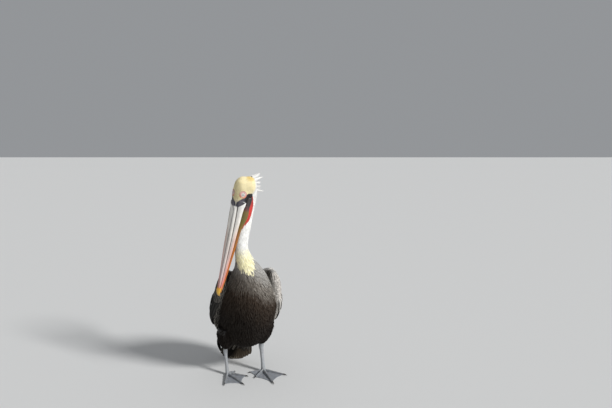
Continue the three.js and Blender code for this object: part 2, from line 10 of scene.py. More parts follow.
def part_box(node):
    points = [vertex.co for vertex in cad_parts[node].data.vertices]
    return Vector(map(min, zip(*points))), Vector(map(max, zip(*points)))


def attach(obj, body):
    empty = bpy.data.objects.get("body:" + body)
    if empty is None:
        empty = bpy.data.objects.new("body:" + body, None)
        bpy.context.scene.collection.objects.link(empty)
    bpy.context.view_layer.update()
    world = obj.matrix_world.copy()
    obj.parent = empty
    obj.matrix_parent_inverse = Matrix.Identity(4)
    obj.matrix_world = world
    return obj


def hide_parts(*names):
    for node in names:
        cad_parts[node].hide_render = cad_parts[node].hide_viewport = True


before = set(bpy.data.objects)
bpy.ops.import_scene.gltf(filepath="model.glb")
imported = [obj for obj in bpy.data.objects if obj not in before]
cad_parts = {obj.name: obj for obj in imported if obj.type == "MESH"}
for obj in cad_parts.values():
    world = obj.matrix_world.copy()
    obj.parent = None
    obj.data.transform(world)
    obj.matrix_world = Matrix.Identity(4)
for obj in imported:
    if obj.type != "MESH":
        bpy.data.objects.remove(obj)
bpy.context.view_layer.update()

# A brown pelican at rest. Everything is worked out in millimetres, in the bird's own frame,
# and goes into Blender in metres. The bird looks towards -Y and its left side is on +X.

rng = np.random.default_rng(4091)
mm = 0.001
up = np.array([0.0, 0.0, 1.0])


def unit(v):  # each vector over its own length
    return v / np.maximum(np.linalg.norm(v, axis=-1, keepdims=True), 1e-9)


def ease(x, low, high):  # 0 below low, 1 above high, and 3s^2 - 2s^3 between them
    s = np.clip((np.asarray(x, float) - low) / (high - low), 0.0, 1.0)
    return s * s * (3.0 - 2.0 * s)


def mix(a, b, s):  # a + (b - a) s, with s spread over the last axis of colours and points
    a, b, s = np.asarray(a, float), np.asarray(b, float), np.asarray(s, float)
    if a.ndim and a.shape[-1] == 3 or b.ndim and b.shape[-1] == 3:
        s = s[..., None]
    return a + (b - a) * s


def bridge(a, b, c, d, u):  # the smooth curve from b to c at share u, with a before and d after
    return b + 0.5 * u * (c - a + u * (2 * a - 5 * b + 4 * c - d + u * (3 * (b - c) + d - a)))


def through(stations, t):  # smooth curve through rows of numbers, at places t from 0 to the last row
    rows = np.asarray(stations, float)
    last = len(rows) - 1
    t = np.clip(np.asarray(t, float), 0, last)
    i = np.minimum(t.astype(int), last - 1)
    return bridge(*(rows[np.clip(i + k, 0, last)] for k in (-1, 0, 1, 2)), (t - i)[..., None])


def paint(red, green, blue):  # a colour as seen on screen, made linear
    c = np.array([red, green, blue], float) / 255.0
    return np.where(c <= 0.04045, c / 12.92, ((c + 0.055) / 1.055) ** 2.4)


def ramp(x, stops):  # colour that changes through (place, colour) stops
    places = [s[0] for s in stops]
    colours = np.array([s[1] for s in stops])
    return np.stack([np.interp(x, places, colours[:, k]) for k in range(3)], -1)


def wobble(points, size, seed):  # soft smooth noise from -1 to 1: a sum of slanted sine waves
    draw = np.random.default_rng(seed)
    total = 0.0
    for octave in range(5):
        waves = draw.normal(size=(3, 3)) * (2.0 * math.pi / size) * (1.0 + 0.45 * octave)
        total = total + np.sin(points @ waves + draw.uniform(0, 6.28, 3)).prod(-1)
    return total / 2.2


stance = {
    "middle": (5.5, 20.0),  # on the floor, midway between the heels
    "turn": 14.0,  # degrees the breast turns towards +X
    "slope": 60.0,  # degrees between the trunk's axis and the floor
    "axis": (16.0, 286.0),  # forward and up, where the trunk's axis starts
}
turn, slope = np.radians(stance["turn"]), np.radians(stance["slope"])
ahead = np.array([np.sin(turn), -np.cos(turn), 0.0])
left = np.array([np.cos(turn), np.sin(turn), 0.0])
along = ahead * np.cos(slope) + up * np.sin(slope)  # from the tail to the neck
backward = -ahead * np.sin(slope) + up * np.cos(slope)  # out of the back


def bodyPoint(forward, leftward, height):
    # middle of the stance + ahead * forward + left * leftward + up * height
    base = np.array([*stance["middle"], 0.0])
    return (base + np.multiply.outer(forward, ahead) + np.multiply.outer(leftward, left)
            + np.multiply.outer(height, up))


trunkStart = bodyPoint(stance["axis"][0], 0.0, stance["axis"][1])


def trunkPoint(alongAxis, out, back):  # start of the trunk's axis + along it + out to the left + back
    return (trunkStart + np.multiply.outer(alongAxis, along) + np.multiply.outer(out, left)
            + np.multiply.outer(back, backward))


bill = {
    "base": (-14.1, -112.0, 657.5),
    "tip": (-82.0, -143.0, 353.0),
    "headTurn": 27.0,  # degrees the crown turns towards -X
    "ridge": 15.0,  # height of the bill over the gape, at its base
}
billBase, billTip = np.array(bill["base"]), np.array(bill["tip"])
billLength = np.linalg.norm(billTip - billBase)
facing = unit(billTip - billBase)
crown = np.array([-np.sin(np.radians(bill["headTurn"])), -np.cos(np.radians(bill["headTurn"])), 0.0])
crown = unit(crown - facing * (crown @ facing))
cheek = np.cross(crown, facing)
headStart = billBase - crown * bill["ridge"]


def headPoint(alongBill, out, high):
    # the head's start + facing * alongBill + cheek * out + crown * high
    return (headStart + np.multiply.outer(alongBill, facing) + np.multiply.outer(out, cheek)
            + np.multiply.outer(high, crown))


def headPlace(points):  # distance behind the bill's base, out of the left cheek, and over the gape
    rel = points - headStart
    return -(rel @ facing), rel @ cheek, rel @ crown


eyeLow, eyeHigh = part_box("eye_left")
cadEye = (-41.0, 19.2, 12.5)  # where the frame's own left eye sits: along the bill, out, and over the gape
origin = np.array((eyeLow + eyeHigh) / 2.0) - headPoint(*cadEye) * mm
print("frames ready")


def gridQuads(rows, columns, wrap):  # four corners for each cell of a grid of points
    r = np.arange(rows - 1)[:, None] * columns
    c = np.arange(columns if wrap else columns - 1)[None, :]
    n = (c + 1) % columns
    return np.stack([r + c, r + n, r + columns + n, r + columns + c], -1).reshape(-1, 4)


def closedTube(grid):  # a tube from rings of points, with a fan of triangles over each end
    rows, columns = grid.shape[:2]
    points = np.concatenate([grid.reshape(-1, 3), [grid[0].mean(0)], [grid[-1].mean(0)]])
    quads = gridQuads(rows, columns, True)
    a = np.arange(columns)
    b = (a + 1) % columns
    first, last = rows * columns, rows * columns + 1
    end = (rows - 1) * columns
    caps = np.concatenate([np.stack([b, a, np.full(columns, first)], -1),
                           np.stack([end + a, end + b, np.full(columns, last)], -1)])
    return points, quads, caps


noTriangles = np.zeros((0, 3), int)


def joined(shapes):  # several shapes as one, each a set of points, quads and triangles
    points, quads, tris, count = [], [], [], 0
    for p, q, t in shapes:
        points.append(p)
        quads.append(np.asarray(q, int).reshape(-1, 4) + count)
        tris.append(np.asarray(t, int).reshape(-1, 3) + count)
        count += len(p)
    return np.concatenate(points), np.concatenate(quads), np.concatenate(tris)


def meshFrom(name, shape):
    # points (moved and in metres), squares and triangles as one smooth mesh
    points, quads, tris = shape
    corners = np.concatenate([quads.ravel(), tris.ravel()]).astype(np.int32)
    starts = np.concatenate([np.arange(len(quads)) * 4, len(quads) * 4 + np.arange(len(tris)) * 3])
    mesh = bpy.data.meshes.new(name)
    mesh.vertices.add(len(points))
    mesh.vertices.foreach_set("co", (points * mm + origin).astype(np.float32).ravel())
    mesh.loops.add(len(corners))
    mesh.loops.foreach_set("vertex_index", corners)
    mesh.polygons.add(len(starts))
    mesh.polygons.foreach_set("loop_start", starts.astype(np.int32))
    mesh.polygons.foreach_set("use_smooth", np.ones(len(starts), bool))
    mesh.update(calc_edges=True)
    return mesh


def addAttribute(mesh, name, values):  # one colour or vector for each point
    values = np.asarray(values, np.float32)
    if name.endswith("Tint"):
        values = np.concatenate([values, np.ones((len(values), 1), np.float32)], -1)
        mesh.attributes.new(name, "FLOAT_COLOR", "POINT").data.foreach_set("color", values.ravel())
    else:
        mesh.attributes.new(name, "FLOAT_VECTOR", "POINT").data.foreach_set("vector", values.ravel())


def addPiece(name, mesh, material, nodes=(), turnOut=True):
    # a mesh as a piece of the one body, in place of its nodes
    if turnOut:
        work = bmesh.new()
        work.from_mesh(mesh)
        bmesh.ops.recalc_face_normals(work, faces=work.faces)
        work.to_mesh(mesh)
        work.free()
    mesh.materials.append(material)
    piece = bpy.data.objects.new(name, mesh)
    bpy.context.scene.collection.objects.link(piece)
    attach(piece, "root")
    if nodes:
        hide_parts(*nodes)
    print(f"{name}: {len(mesh.vertices)} points")
    return piece


def addNode(tree, kind, **values):
    node = tree.nodes.new(kind)
    for key, value in values.items():
        setattr(node, key, value)
    return node


def wire(tree, source, target):
    tree.links.new(source, target)


def feed(tree, socket, value):  # a socket is linked, and a plain number or colour is set
    if isinstance(value, bpy.types.NodeSocket):
        tree.links.new(value, socket)
    else:
        socket.default_value = value


def calc(tree, operation, a, b=0.0, clamp=False):
    node = addNode(tree, "ShaderNodeMath", operation=operation, use_clamp=clamp)
    feed(tree, node.inputs[0], a)
    feed(tree, node.inputs[1], b)
    return node.outputs[0]


def plus(tree, a, b, clamp=False):
    return calc(tree, "ADD", a, b, clamp)


def times(tree, a, b, clamp=False):
    return calc(tree, "MULTIPLY", a, b, clamp)


def fade(tree, value, low, high):  # 0 at low and 1 at high, smooth between them
    node = addNode(tree, "ShaderNodeMapRange", interpolation_type="SMOOTHSTEP")
    for index, item in enumerate((value, low, high)):
        feed(tree, node.inputs[index], item)
    return node.outputs[0]


def tintMix(tree, factor, a, b):
    # a + (b - a) factor, for colours
    node = addNode(tree, "ShaderNodeMix", data_type="RGBA")
    feed(tree, node.inputs[0], factor)
    feed(tree, node.inputs[6], a)
    feed(tree, node.inputs[7], b)
    return node.outputs[2]


def newGroup(name, inputs, outputs):
    group = bpy.data.node_groups.new(name, "ShaderNodeTree")
    for label, kind, value in inputs:
        socket = group.interface.new_socket(label, in_out="INPUT", socket_type=kind)
        socket.default_value = value
    for label, kind in outputs:
        group.interface.new_socket(label, in_out="OUTPUT", socket_type=kind)
    return group, group.nodes.new("NodeGroupInput"), group.nodes.new("NodeGroupOutput")


def makeVaneGroup():
    # a feather's own drawing: pale shaft, soft streak, edge, tip and fine slanting barbs
    group, start, end = newGroup("featherDrawing", [
        ("Tint", "NodeSocketColor", (0.5, 0.5, 0.5, 1)),
        ("Vane", "NodeSocketVector", (0, 0, 0)),
        ("Mark", "NodeSocketVector", (0, 0, 0)),
        ("Shaft", "NodeSocketColor", (0.8, 0.78, 0.72, 1)),
        ("Edge", "NodeSocketColor", (0.02, 0.018, 0.016, 1)),
    ], [("Color", "NodeSocketColor"), ("Roughness", "NodeSocketFloat"), ("Height", "NodeSocketFloat")])
    vane = addNode(group, "ShaderNodeSeparateXYZ")
    wire(group, start.outputs["Vane"], vane.inputs[0])
    mark = addNode(group, "ShaderNodeSeparateXYZ")
    wire(group, start.outputs["Mark"], mark.inputs[0])
    side = calc(group, "ABSOLUTE", vane.outputs[1])
    barbAngle = plus(group, times(group, vane.outputs[0], 95.0), times(group, side, -26.0))
    barb = calc(group, "SINE", plus(group, barbAngle, times(group, vane.outputs[2], 40.0)))
    quill = fade(group, side, 0.16, 0.03)
    streak = fade(group, side, 0.75, 0.1)
    rim = fade(group, side, 0.45, 0.98)
    tip = fade(group, vane.outputs[0], 0.55, 1.0)
    tone = plus(group, 0.86, times(group, vane.outputs[2], 0.28))
    tone = plus(group, tone, times(group, barb, 0.05))
    scale = addNode(group, "ShaderNodeVectorMath", operation="SCALE")
    wire(group, start.outputs["Tint"], scale.inputs[0])
    wire(group, tone, scale.inputs[3])
    edge = times(group, mark.outputs[1], calc(group, "MAXIMUM", rim, times(group, tip, 0.6)), True)
    withEdge = tintMix(group, edge, scale.outputs[0], start.outputs["Edge"])
    pale = times(group, mark.outputs[0], plus(group, quill, times(group, streak, 0.22)), True)
    wire(group, tintMix(group, pale, withEdge, start.outputs["Shaft"]), end.inputs["Color"])
    wire(group, plus(group, 0.62, times(group, barb, 0.06)), end.inputs["Roughness"])
    height = plus(group, times(group, barb, 0.35), times(group, quill, 0.9))
    wire(group, height, end.inputs["Height"])
    return group


def makeGrainGroup():
    # uneven skin or horn: two sizes of noise in the object's own place, stretched along one way
    group, start, end = newGroup("unevenSurface", [
        ("Color", "NodeSocketColor", (0.5, 0.5, 0.5, 1)),
        ("Dark", "NodeSocketColor", (0.1, 0.1, 0.1, 1)),
        ("Place", "NodeSocketVector", (0, 0, 0)),
        ("Coarse", "NodeSocketFloat", 120.0),
        ("Fine", "NodeSocketFloat", 700.0),
        ("Amount", "NodeSocketFloat", 0.3),
    ], [("Color", "NodeSocketColor"), ("Height", "NodeSocketFloat"), ("Fac", "NodeSocketFloat")])
    coarse = addNode(group, "ShaderNodeTexNoise", noise_dimensions="3D")
    fine = addNode(group, "ShaderNodeTexNoise", noise_dimensions="3D")
    for noise, label, detail in ((coarse, "Coarse", 3.0), (fine, "Fine", 4.0)):
        wire(group, start.outputs["Place"], noise.inputs["Vector"])
        wire(group, start.outputs[label], noise.inputs["Scale"])
        noise.inputs["Detail"].default_value = detail
    both = plus(group, times(group, coarse.outputs[0], 0.6), times(group, fine.outputs[0], 0.4))
    patch = fade(group, both, 0.36, 0.66)
    shade = times(group, calc(group, "SUBTRACT", 1.0, patch), start.outputs["Amount"], True)
    wire(group, tintMix(group, shade, start.outputs["Color"], start.outputs["Dark"]), end.inputs["Color"])
    wire(group, both, end.inputs["Height"])
    wire(group, patch, end.inputs["Fac"])
    return group


vaneGroup = makeVaneGroup()
grainGroup = makeGrainGroup()


def newMaterial(name, roughness, **sockets):  # sockets by their names
    material = bpy.data.materials.new(name)
    material.use_nodes = True
    tree = material.node_tree
    shader = tree.nodes["Principled BSDF"]
    shader.inputs["Roughness"].default_value = roughness
    for label, value in sockets.items():
        shader.inputs[label.replace("_", " ")].default_value = value
    return material, tree, shader


def placeGroup(tree, group, **values):
    node = addNode(tree, "ShaderNodeGroup", node_tree=group)
    for label, value in values.items():
        feed(tree, node.inputs[label], value)
    return node


def attribute(tree, name, colour=False):
    node = addNode(tree, "ShaderNodeAttribute", attribute_name=name)
    return node.outputs["Color" if colour else "Vector"]


def addBump(tree, shader, height, strength, distance):
    node = addNode(tree, "ShaderNodeBump")
    node.inputs["Strength"].default_value = strength
    node.inputs["Distance"].default_value = distance
    wire(tree, height, node.inputs["Height"])
    wire(tree, node.outputs[0], shader.inputs["Normal"])


def featherMaterial(name, shaft, edge):
    # the vane's tint with shaft, edge and barbs drawn over it
    material, tree, shader = newMaterial(name, 0.7, Sheen_Weight=0.02, Sheen_Roughness=0.5,
                                         Specular_IOR_Level=0.1, IOR=1.12)
    drawing = placeGroup(tree, vaneGroup, Tint=attribute(tree, "plumeTint", True),
                         Vane=attribute(tree, "vane"), Mark=attribute(tree, "mark"),
                         Shaft=(*shaft, 1.0), Edge=(*edge, 1.0))
    wire(tree, drawing.outputs["Color"], shader.inputs["Base Color"])
    wire(tree, drawing.outputs["Roughness"], shader.inputs["Roughness"])
    addBump(tree, shader, drawing.outputs["Height"], 0.35, 0.0003)
    return material


def bodyMaterial(name, roughness, grain, dark, bump, stretch=(1, 1, 1), **sockets):
    # colour from the surface's own tint, broken by uneven skin or horn. grain is its coarse scale, fine scale
    # and amount, and bump the strength and depth of its relief
    material, tree, shader = newMaterial(name, roughness, **sockets)
    mapping = addNode(tree, "ShaderNodeMapping")
    mapping.inputs["Scale"].default_value = stretch
    wire(tree, addNode(tree, "ShaderNodeTexCoord").outputs["Object"], mapping.inputs["Vector"])
    coarse, fine, amount = grain
    uneven = placeGroup(tree, grainGroup, Color=attribute(tree, "skinTint", True), Dark=(*dark, 1.0),
                        Place=mapping.outputs[0], Coarse=coarse, Fine=fine, Amount=amount)
    wire(tree, uneven.outputs["Color"], shader.inputs["Base Color"])
    rough = plus(tree, roughness - 0.1, times(tree, uneven.outputs["Fac"], 0.2))
    wire(tree, rough, shader.inputs["Roughness"])
    addBump(tree, shader, uneven.outputs["Height"], *bump)
    return material


plumeMaterial = featherMaterial("plumage", paint(214, 208, 196), paint(46, 42, 40))
quillMaterial = featherMaterial("flight_feathers", paint(196, 186, 168), paint(22, 20, 19))
skinMaterial = bodyMaterial("down_and_skin", 0.7, (90, 420, 0.25), paint(60, 52, 48), (0.3, 0.0006),
                            Subsurface_Weight=0.05, Subsurface_Radius=(0.002, 0.001, 0.0006))
hornMaterial = bodyMaterial("bill_horn", 0.42, (60, 330, 0.24), paint(110, 98, 92), (0.35, 0.0006),
                            stretch=(1.6, 1.6, 0.35), Coat_Weight=0.12, Coat_Roughness=0.35)
pouchMaterial = bodyMaterial("pouch_skin", 0.5, (55, 260, 0.4), paint(92, 34, 22), (0.6, 0.0012),
                             stretch=(1.8, 1.8, 0.3), Subsurface_Weight=0.15,
                             Subsurface_Radius=(0.004, 0.001, 0.0006))
faceMaterial = bodyMaterial("face_skin", 0.5, (160, 900, 0.3), paint(40, 34, 36), (0.5, 0.0006))
clawMaterial = bodyMaterial("claw_horn", 0.38, (200, 900, 0.4), paint(12, 11, 10), (0.3, 0.0003),
                            Coat_Weight=0.3, Coat_Roughness=0.2)
print("materials ready")


body = {
    # forward, leftward, height, half width, towards the back, towards the belly
    "spine": [
        (-88, -4, 80, 24, 11, 15), (-78, -3, 114, 60, 36, 50), (-52, -1, 164, 92, 66, 93),
        (-18, 0, 224, 105, 86, 103), (16, 1, 286, 107, 92, 104), (48, -3, 344, 92, 84, 94),
        (76, -6, 396, 63, 66, 68), (97, -16, 442, 39, 42, 41), (108, -27, 482, 27, 29, 29),
        (112, -31, 514, 24, 25, 25), (108, -26, 548, 23, 25, 24), (97, -17, 584, 23.5, 25, 24),
        (88, -9, 620, 24, 26, 24), (82, -2, 656, 25.5, 27, 25), (80, 4, 690, 27, 27, 25),
        (82, 3, 716, 25, 23, 22),
    ],
    "twist": (7.0, 14.0, -32.0),  # the neck turns with the head between these stations, by this many degrees
    "coat": [6, 7, 7, 7, 7, 7, 7, 6, 5, 4, 3.6, 3.4, 3.4, 3.4, 3.4, 3.4],  # depth of the feathers
}
spine = np.array(body["spine"], float)
coatDepth = np.array(body["coat"], float)[:, None]
lastStation = len(spine) - 1


def spineFrame(t):
    # centre of the tube, its sideways and backward vectors and its direction towards the head
    centre = lambda s: bodyPoint(*(through(spine[:, :3], s)[..., k] for k in range(3)))
    heading = unit(centre(np.minimum(t + 0.25, lastStation)) - centre(np.maximum(t - 0.25, 0)))
    start, stop, degrees = body["twist"]
    angle = np.radians(degrees) * ease(t, start, stop)
    side = np.stack([left[0] * np.cos(angle) - left[1] * np.sin(angle),
                     left[0] * np.sin(angle) + left[1] * np.cos(angle), np.zeros_like(angle)], -1)
    back = unit(np.cross(heading, side))
    return centre(t), np.cross(back, heading), back, heading


def spineSurface(t, angle, inset):
    # centre + sideways * width * cos(angle) + back * height * sin(angle)
    centre, side, back, _ = spineFrame(t)
    wide, high, deep = (through(spine[:, 3:], t)[..., k] - inset for k in range(3))
    tall = np.where(np.sin(angle) > 0, high, deep)
    return centre + side * (wide * np.cos(angle))[..., None] + back * (tall * np.sin(angle))[..., None]


head = {
    # behind the bill's base, half width, over the gape, under the gape, narrowing between the eyes
    "stations": [
        (-8, 26, 15, 12, 0), (2, 29, 17, 18, 0.1), (18, 31, 20, 24, 0.22), (38, 32, 23.5, 28, 0.2),
        (58, 30, 27, 28, 0.08), (78, 26, 28, 25, 0), (92, 18.5, 21, 18, 0), (101, 8, 10, 9, 0),
    ],
    "nape": ((27, -66, 720), (30, 42, 36)),  # middle and radii of an oval
    "rear": ((29, -80, 722), (29, 36, 35)),  # these two fill the dip between crown and nape
    "dip": ((21, -87, 719), (32, 28, 37)),
    "fuller": 4.0,  # how much the right cheek stands out more than the left
    "middle": (17, -82, 706),  # inside the head, where its feathers are spread from
    "coat": 2.6,
}


face = {
    "eye": (41.0, 19.2, 12.2),  # behind the bill's base, out, and over the gape
    "ring": 12.4,  # radius of the bare ring
    # out, and how far behind the bill's base the feathers begin
    "featherEdge": [(0, 12), (6, 14), (14, 21), (20, 28), (25, 35), (29, 48), (36, 54)],
    "gape": (42.5, 28.0, -19.0),  # middle of the black lobe at the corner of the mouth
    "gapeRadius": 8.6,
    "ballRadius": 8.2,
    "proud": 1.9,  # how far the ball stands out of the skin
    "openRadius": 6.3,
    "lowest": 640,  # height under which there is no face
}


def headSurface(t, angle, inset):
    # each ring is an oval whose upper half narrows by its brow
    s = through(head["stations"], t)
    wide = (s[..., 1] - inset) * np.cos(angle) * (1 - s[..., 4] * np.maximum(0, np.sin(angle)))
    tall = np.where(np.sin(angle) > 0, s[..., 2] - inset, s[..., 3] - inset) * np.sin(angle)
    return headStart - s[..., :1] * facing + wide[..., None] * cheek + tall[..., None] * crown


def circle(count):  # evenly spaced angles once round
    return np.arange(count) / count * 2 * math.pi


def rings(rows, columns, first, last):  # each point's place along a tube and its angle round it
    return np.meshgrid(np.linspace(first, last, rows), circle(columns), indexing="ij")


def facePoint(place, side):  # behind, out of and over the head's start, on the left (1) or right (-1)
    return headPoint(-place[0], side * place[1], place[2])


def besideAxis(away, axis):  # how far along an axis, and how far from it
    outward = away @ axis
    return outward, np.linalg.norm(away - outward[:, None] * axis, axis=1)


def ball(centre, radii, rows, columns):  # latitude and longitude on an ellipsoid
    v, a = rings(rows, columns, 0.06, math.pi - 0.06)
    return np.array(centre) + np.array(radii) * np.stack([np.sin(v) * np.cos(a), np.sin(v) * np.sin(a),
                                                          np.cos(v)], -1)


wing = {
    # along the trunk's axis, out, back, half chord, bulge outside, bulge inside, lean
    "stations": [
        (134, 88, 18, 12, 8, 8, 100), (119, 85, 20, 30, 17, 16, 112), (85, 79, 24, 54, 31, 20, 119),
        (40, 68, 30, 72, 45, 14, 124), (-10, 62, 34, 82, 50, 10, 128), (-70, 58, 38, 80, 46, 10, 131),
        (-130, 50, 40, 67, 36, 10, 134), (-190, 38, 44, 50, 24, 10, 138), (-245, 28, 46, 33, 13, 8, 141),
        (-296, 20, 42, 19, 7, 5, 143), (-332, 15, 38, 5, 2.5, 2.5, 143),
    ],
    "rightHang": (60, -90, -420, 13),  # the right wing stands out more between these places
    "tipSwing": (-120, -330, -26),  # both tips lie towards the tail's side
    "rightTip": (-150, -300, -42),  # and the right one a little further
    "coat": 6.0,
    "fleshEnds": -150,
    "shade": {-1: 0.07, 1: 1.0},  # painted shade: how much of its brightness the lower edge of each wing keeps; the right wing's is painted near-black as if in shadow
}
wingStations = np.array(wing["stations"], float)


def wingPlace(alongAxis):  # station index at a distance along the trunk's axis
    return np.interp(-np.asarray(alongAxis, float), -wingStations[:, 0], np.arange(len(wingStations)))


def wingSurface(side, t, angle, inset):
    # ovals across the trunk's axis: chord * cos(angle) + outward bulge * sin(angle)
    s = through(wingStations, t)
    hangTop, hangMost, hangEnd, hangOut = wing["rightHang"]
    hang = hangOut * ease(-s[..., 0], -hangTop, -hangMost) * (1 - ease(-s[..., 0], -hangMost, -hangEnd))
    swingFrom, swingTo, swingLeft = wing["tipSwing"]
    swing = swingLeft * ease(-s[..., 0], -swingFrom, -swingTo)
    if side < 0:
        tipFrom, tipTo, tipLeft = wing["rightTip"]
        swing = swing + tipLeft * ease(-s[..., 0], -tipFrom, -tipTo)
    out = side * (s[..., 1] + (hang if side < 0 else 0)) + swing
    centre = trunkStart + s[..., :1] * along + out[..., None] * left + s[..., 2:3] * backward
    lean = np.radians(s[..., 6])
    chord = side * np.cos(lean)[..., None] * left + np.sin(lean)[..., None] * backward
    outward = side * np.sin(lean)[..., None] * left - np.cos(lean)[..., None] * backward
    wide = np.maximum(s[..., 3] - inset, 1.0) * np.cos(angle)
    deep = np.where(np.sin(angle) > 0, s[..., 4] - inset, s[..., 5] - 0.5 * inset)
    return centre + wide[..., None] * chord + (np.maximum(deep, 1.0) * np.sin(angle))[..., None] * outward


def wingNormal(side, t, angle):
    # cross product of the surface's slopes round and along the wing
    du = wingSurface(side, t, angle + 0.02, 0) - wingSurface(side, t, angle - 0.02, 0)
    dv = wingSurface(side, t + 0.03, angle, 0) - wingSurface(side, t - 0.03, angle, 0)
    return unit(np.cross(du, dv)) * side


mantle = {
    # along the trunk's axis, out, back, half width, half height: flesh that fills the back between the wings
    "stations": [(120, 0, 48, 30, 22), (80, 0, 66, 46, 28), (20, 0, 76, 52, 28), (-50, -2, 78, 48, 24),
                 (-110, -6, 66, 36, 20), (-150, -10, 52, 20, 12)],
}

legs = {
    "right": {"hip": (-6, -74, 186), "toeBase": (-71, 5), "heel": (-79, 17, 88),
              "tips": [(-44, 27), (11, -15), (4, -83), (-69, -87)], "stout": 1.2},
    "left": {"hip": (2, 60, 196), "toeBase": (62, 34), "heel": (54, 46, 98),
             "tips": [(6, 15), (34, -28), (110, -76), (154, -5)], "stout": 2.4},
    "thighSizes": [(40, 46), (40, 46), (33, 36), (22, 23), (12, 13)],
    "thighCoat": 5.0,
    "overHeel": (2, -6, 12),  # from the heel to the knee's end of the thigh
    "toeHalf": (3.2, 4.0, 4.6, 4.2),
    "clawShare": 0.87,
    "webThick": 1.9,
    "webHollow": 0.085,
}


def limbRings(points, sizes, rows, columns):
    # rings of an oval carried along a curve through the points
    t, angle = rings(rows, columns, 0, len(points) - 1)
    centre = through(points, t)
    after, before = np.minimum(t + 0.1, len(points) - 1), np.maximum(t - 0.1, 0)
    heading = unit(through(points, after) - through(points, before))
    steep = np.abs(heading[..., 2:]) > 0.9
    side = unit(np.where(steep, np.array([1.0, 0, 0]), np.cross(heading, up)))
    back = unit(np.cross(heading, side))
    side = np.cross(back, heading)
    size = through(sizes, t)
    return (centre + side * (size[..., :1] * np.cos(angle)[..., None])
            + back * (size[..., 1:2] * np.sin(angle)[..., None]))


def thighPath(shape, raised=0.0):  # points from the hip to the knee, and the run from one to the other
    hip = bodyPoint(*shape["hip"])
    run = np.array(shape["heel"]) + np.array(legs["overHeel"]) + raised * up - hip
    return hip + np.outer([0, 0.3, 0.6, 0.85, 1], run), run


def thighRings(shape, inset):
    return limbRings(thighPath(shape, inset)[0], np.array(legs["thighSizes"]) - inset, 26, 40)


def relax(points, quads, rounds, weight, back=-0.5):
    # each point moves towards the middle of its neighbours, out and back in turn so nothing shrinks
    edges = np.concatenate([quads[:, [0, 1]], quads[:, [1, 2]], quads[:, [2, 3]], quads[:, [3, 0]]])
    count = np.maximum(np.bincount(edges.ravel(), minlength=len(points)), 1)[:, None]
    for step in range(rounds):
        total = np.stack([np.bincount(edges[:, 0], points[edges[:, 1], k], len(points))
                          + np.bincount(edges[:, 1], points[edges[:, 0], k], len(points))
                          for k in range(3)], -1)
        amount = 0.55 if step % 2 == 0 else back
        points = points + (total / count - points) * (amount * weight)[:, None]
    return points


def remeshed(name, shapes, voxel):
    # the shapes grown together into one closed surface of even squares
    mesh = meshFrom(name, joined(shapes))
    work = bpy.data.objects.new(name, mesh)
    bpy.context.scene.collection.objects.link(work)
    modifier = work.modifiers.new("grow", "REMESH")
    modifier.mode = "VOXEL"
    modifier.voxel_size = voxel * mm
    bpy.context.view_layer.update()
    made = work.evaluated_get(bpy.context.evaluated_depsgraph_get()).to_mesh()
    points = np.zeros(len(made.vertices) * 3, np.float32)
    made.vertices.foreach_get("co", points)
    corners = np.zeros(len(made.loops), np.int32)
    made.loops.foreach_get("vertex_index", corners)
    quads = corners.reshape(-1, 4)
    work.to_mesh_clear()
    bpy.data.objects.remove(work)
    bpy.data.meshes.remove(mesh)
    return (points.reshape(-1, 3).astype(float) - origin) / mm, quads


def vertexNormals(points, quads):
    # cross product of each square's diagonals, summed at its corners
    face = np.cross(points[quads[:, 2]] - points[quads[:, 0]], points[quads[:, 3]] - points[quads[:, 1]])
    total = np.stack([np.bincount(quads.ravel(), np.repeat(face[:, k], 4), len(points))
                      for k in range(3)], -1)
    return unit(total)


skinSizes = {
    "voxel": 3.7, "footVoxel": 1.15,
    # how many times the whole skin is evened, then the neck and head, then the hollow behind the crown
    "evened": 14, "headEvened": 30, "hollowEvened": 31,
    "neckTop": (640, 690),  # heights between which the head's evening sets in
    "hollow": ((27, -104, 722), (20, 22, 34)),  # middle and radii
    "fullAt": ((44, 17), (8, 18)),  # behind and over: middle and width of the fuller cheek
}


def fleshShapes():
    # trunk and neck, head, its fillings, gape lobes, wings, thighs and mantle, less their coats
    t, angle = rings(150, 80, 0, lastStation)
    shapes = [closedTube(spineSurface(t, angle, through(coatDepth, t)[..., 0]))]
    t, angle = rings(60, 72, 0, len(head["stations"]) - 1)
    shapes.append(closedTube(headSurface(t, angle, head["coat"])))
    for centre, radii in (head["nape"], head["rear"], head["dip"]):
        shapes.append(closedTube(ball(centre, np.array(radii) - head["coat"] - 1.5, 30, 40)))
    for side in (-1, 1):
        shapes.append(closedTube(ball(facePoint(face["gape"], side), face["gapeRadius"], 20, 24)))
    t, angle = rings(70, 60, 0.15, wingPlace(wing["fleshEnds"]))
    for side in (-1, 1):
        shapes.append(closedTube(wingSurface(side, t, angle, wing["coat"])))
    for name in ("right", "left"):
        shapes.append(closedTube(thighRings(legs[name], legs["thighCoat"])))
    t, angle = rings(50, 40, 0, len(mantle["stations"]) - 1)
    s = through(mantle["stations"], t)
    out = (s[..., 1] + s[..., 3] * np.cos(angle))[..., None]
    back = (s[..., 2] - 10 + s[..., 4] * np.sin(angle))[..., None]
    shapes.append(closedTube(trunkStart + s[..., :1] * along + out * left + back * backward))
    return shapes


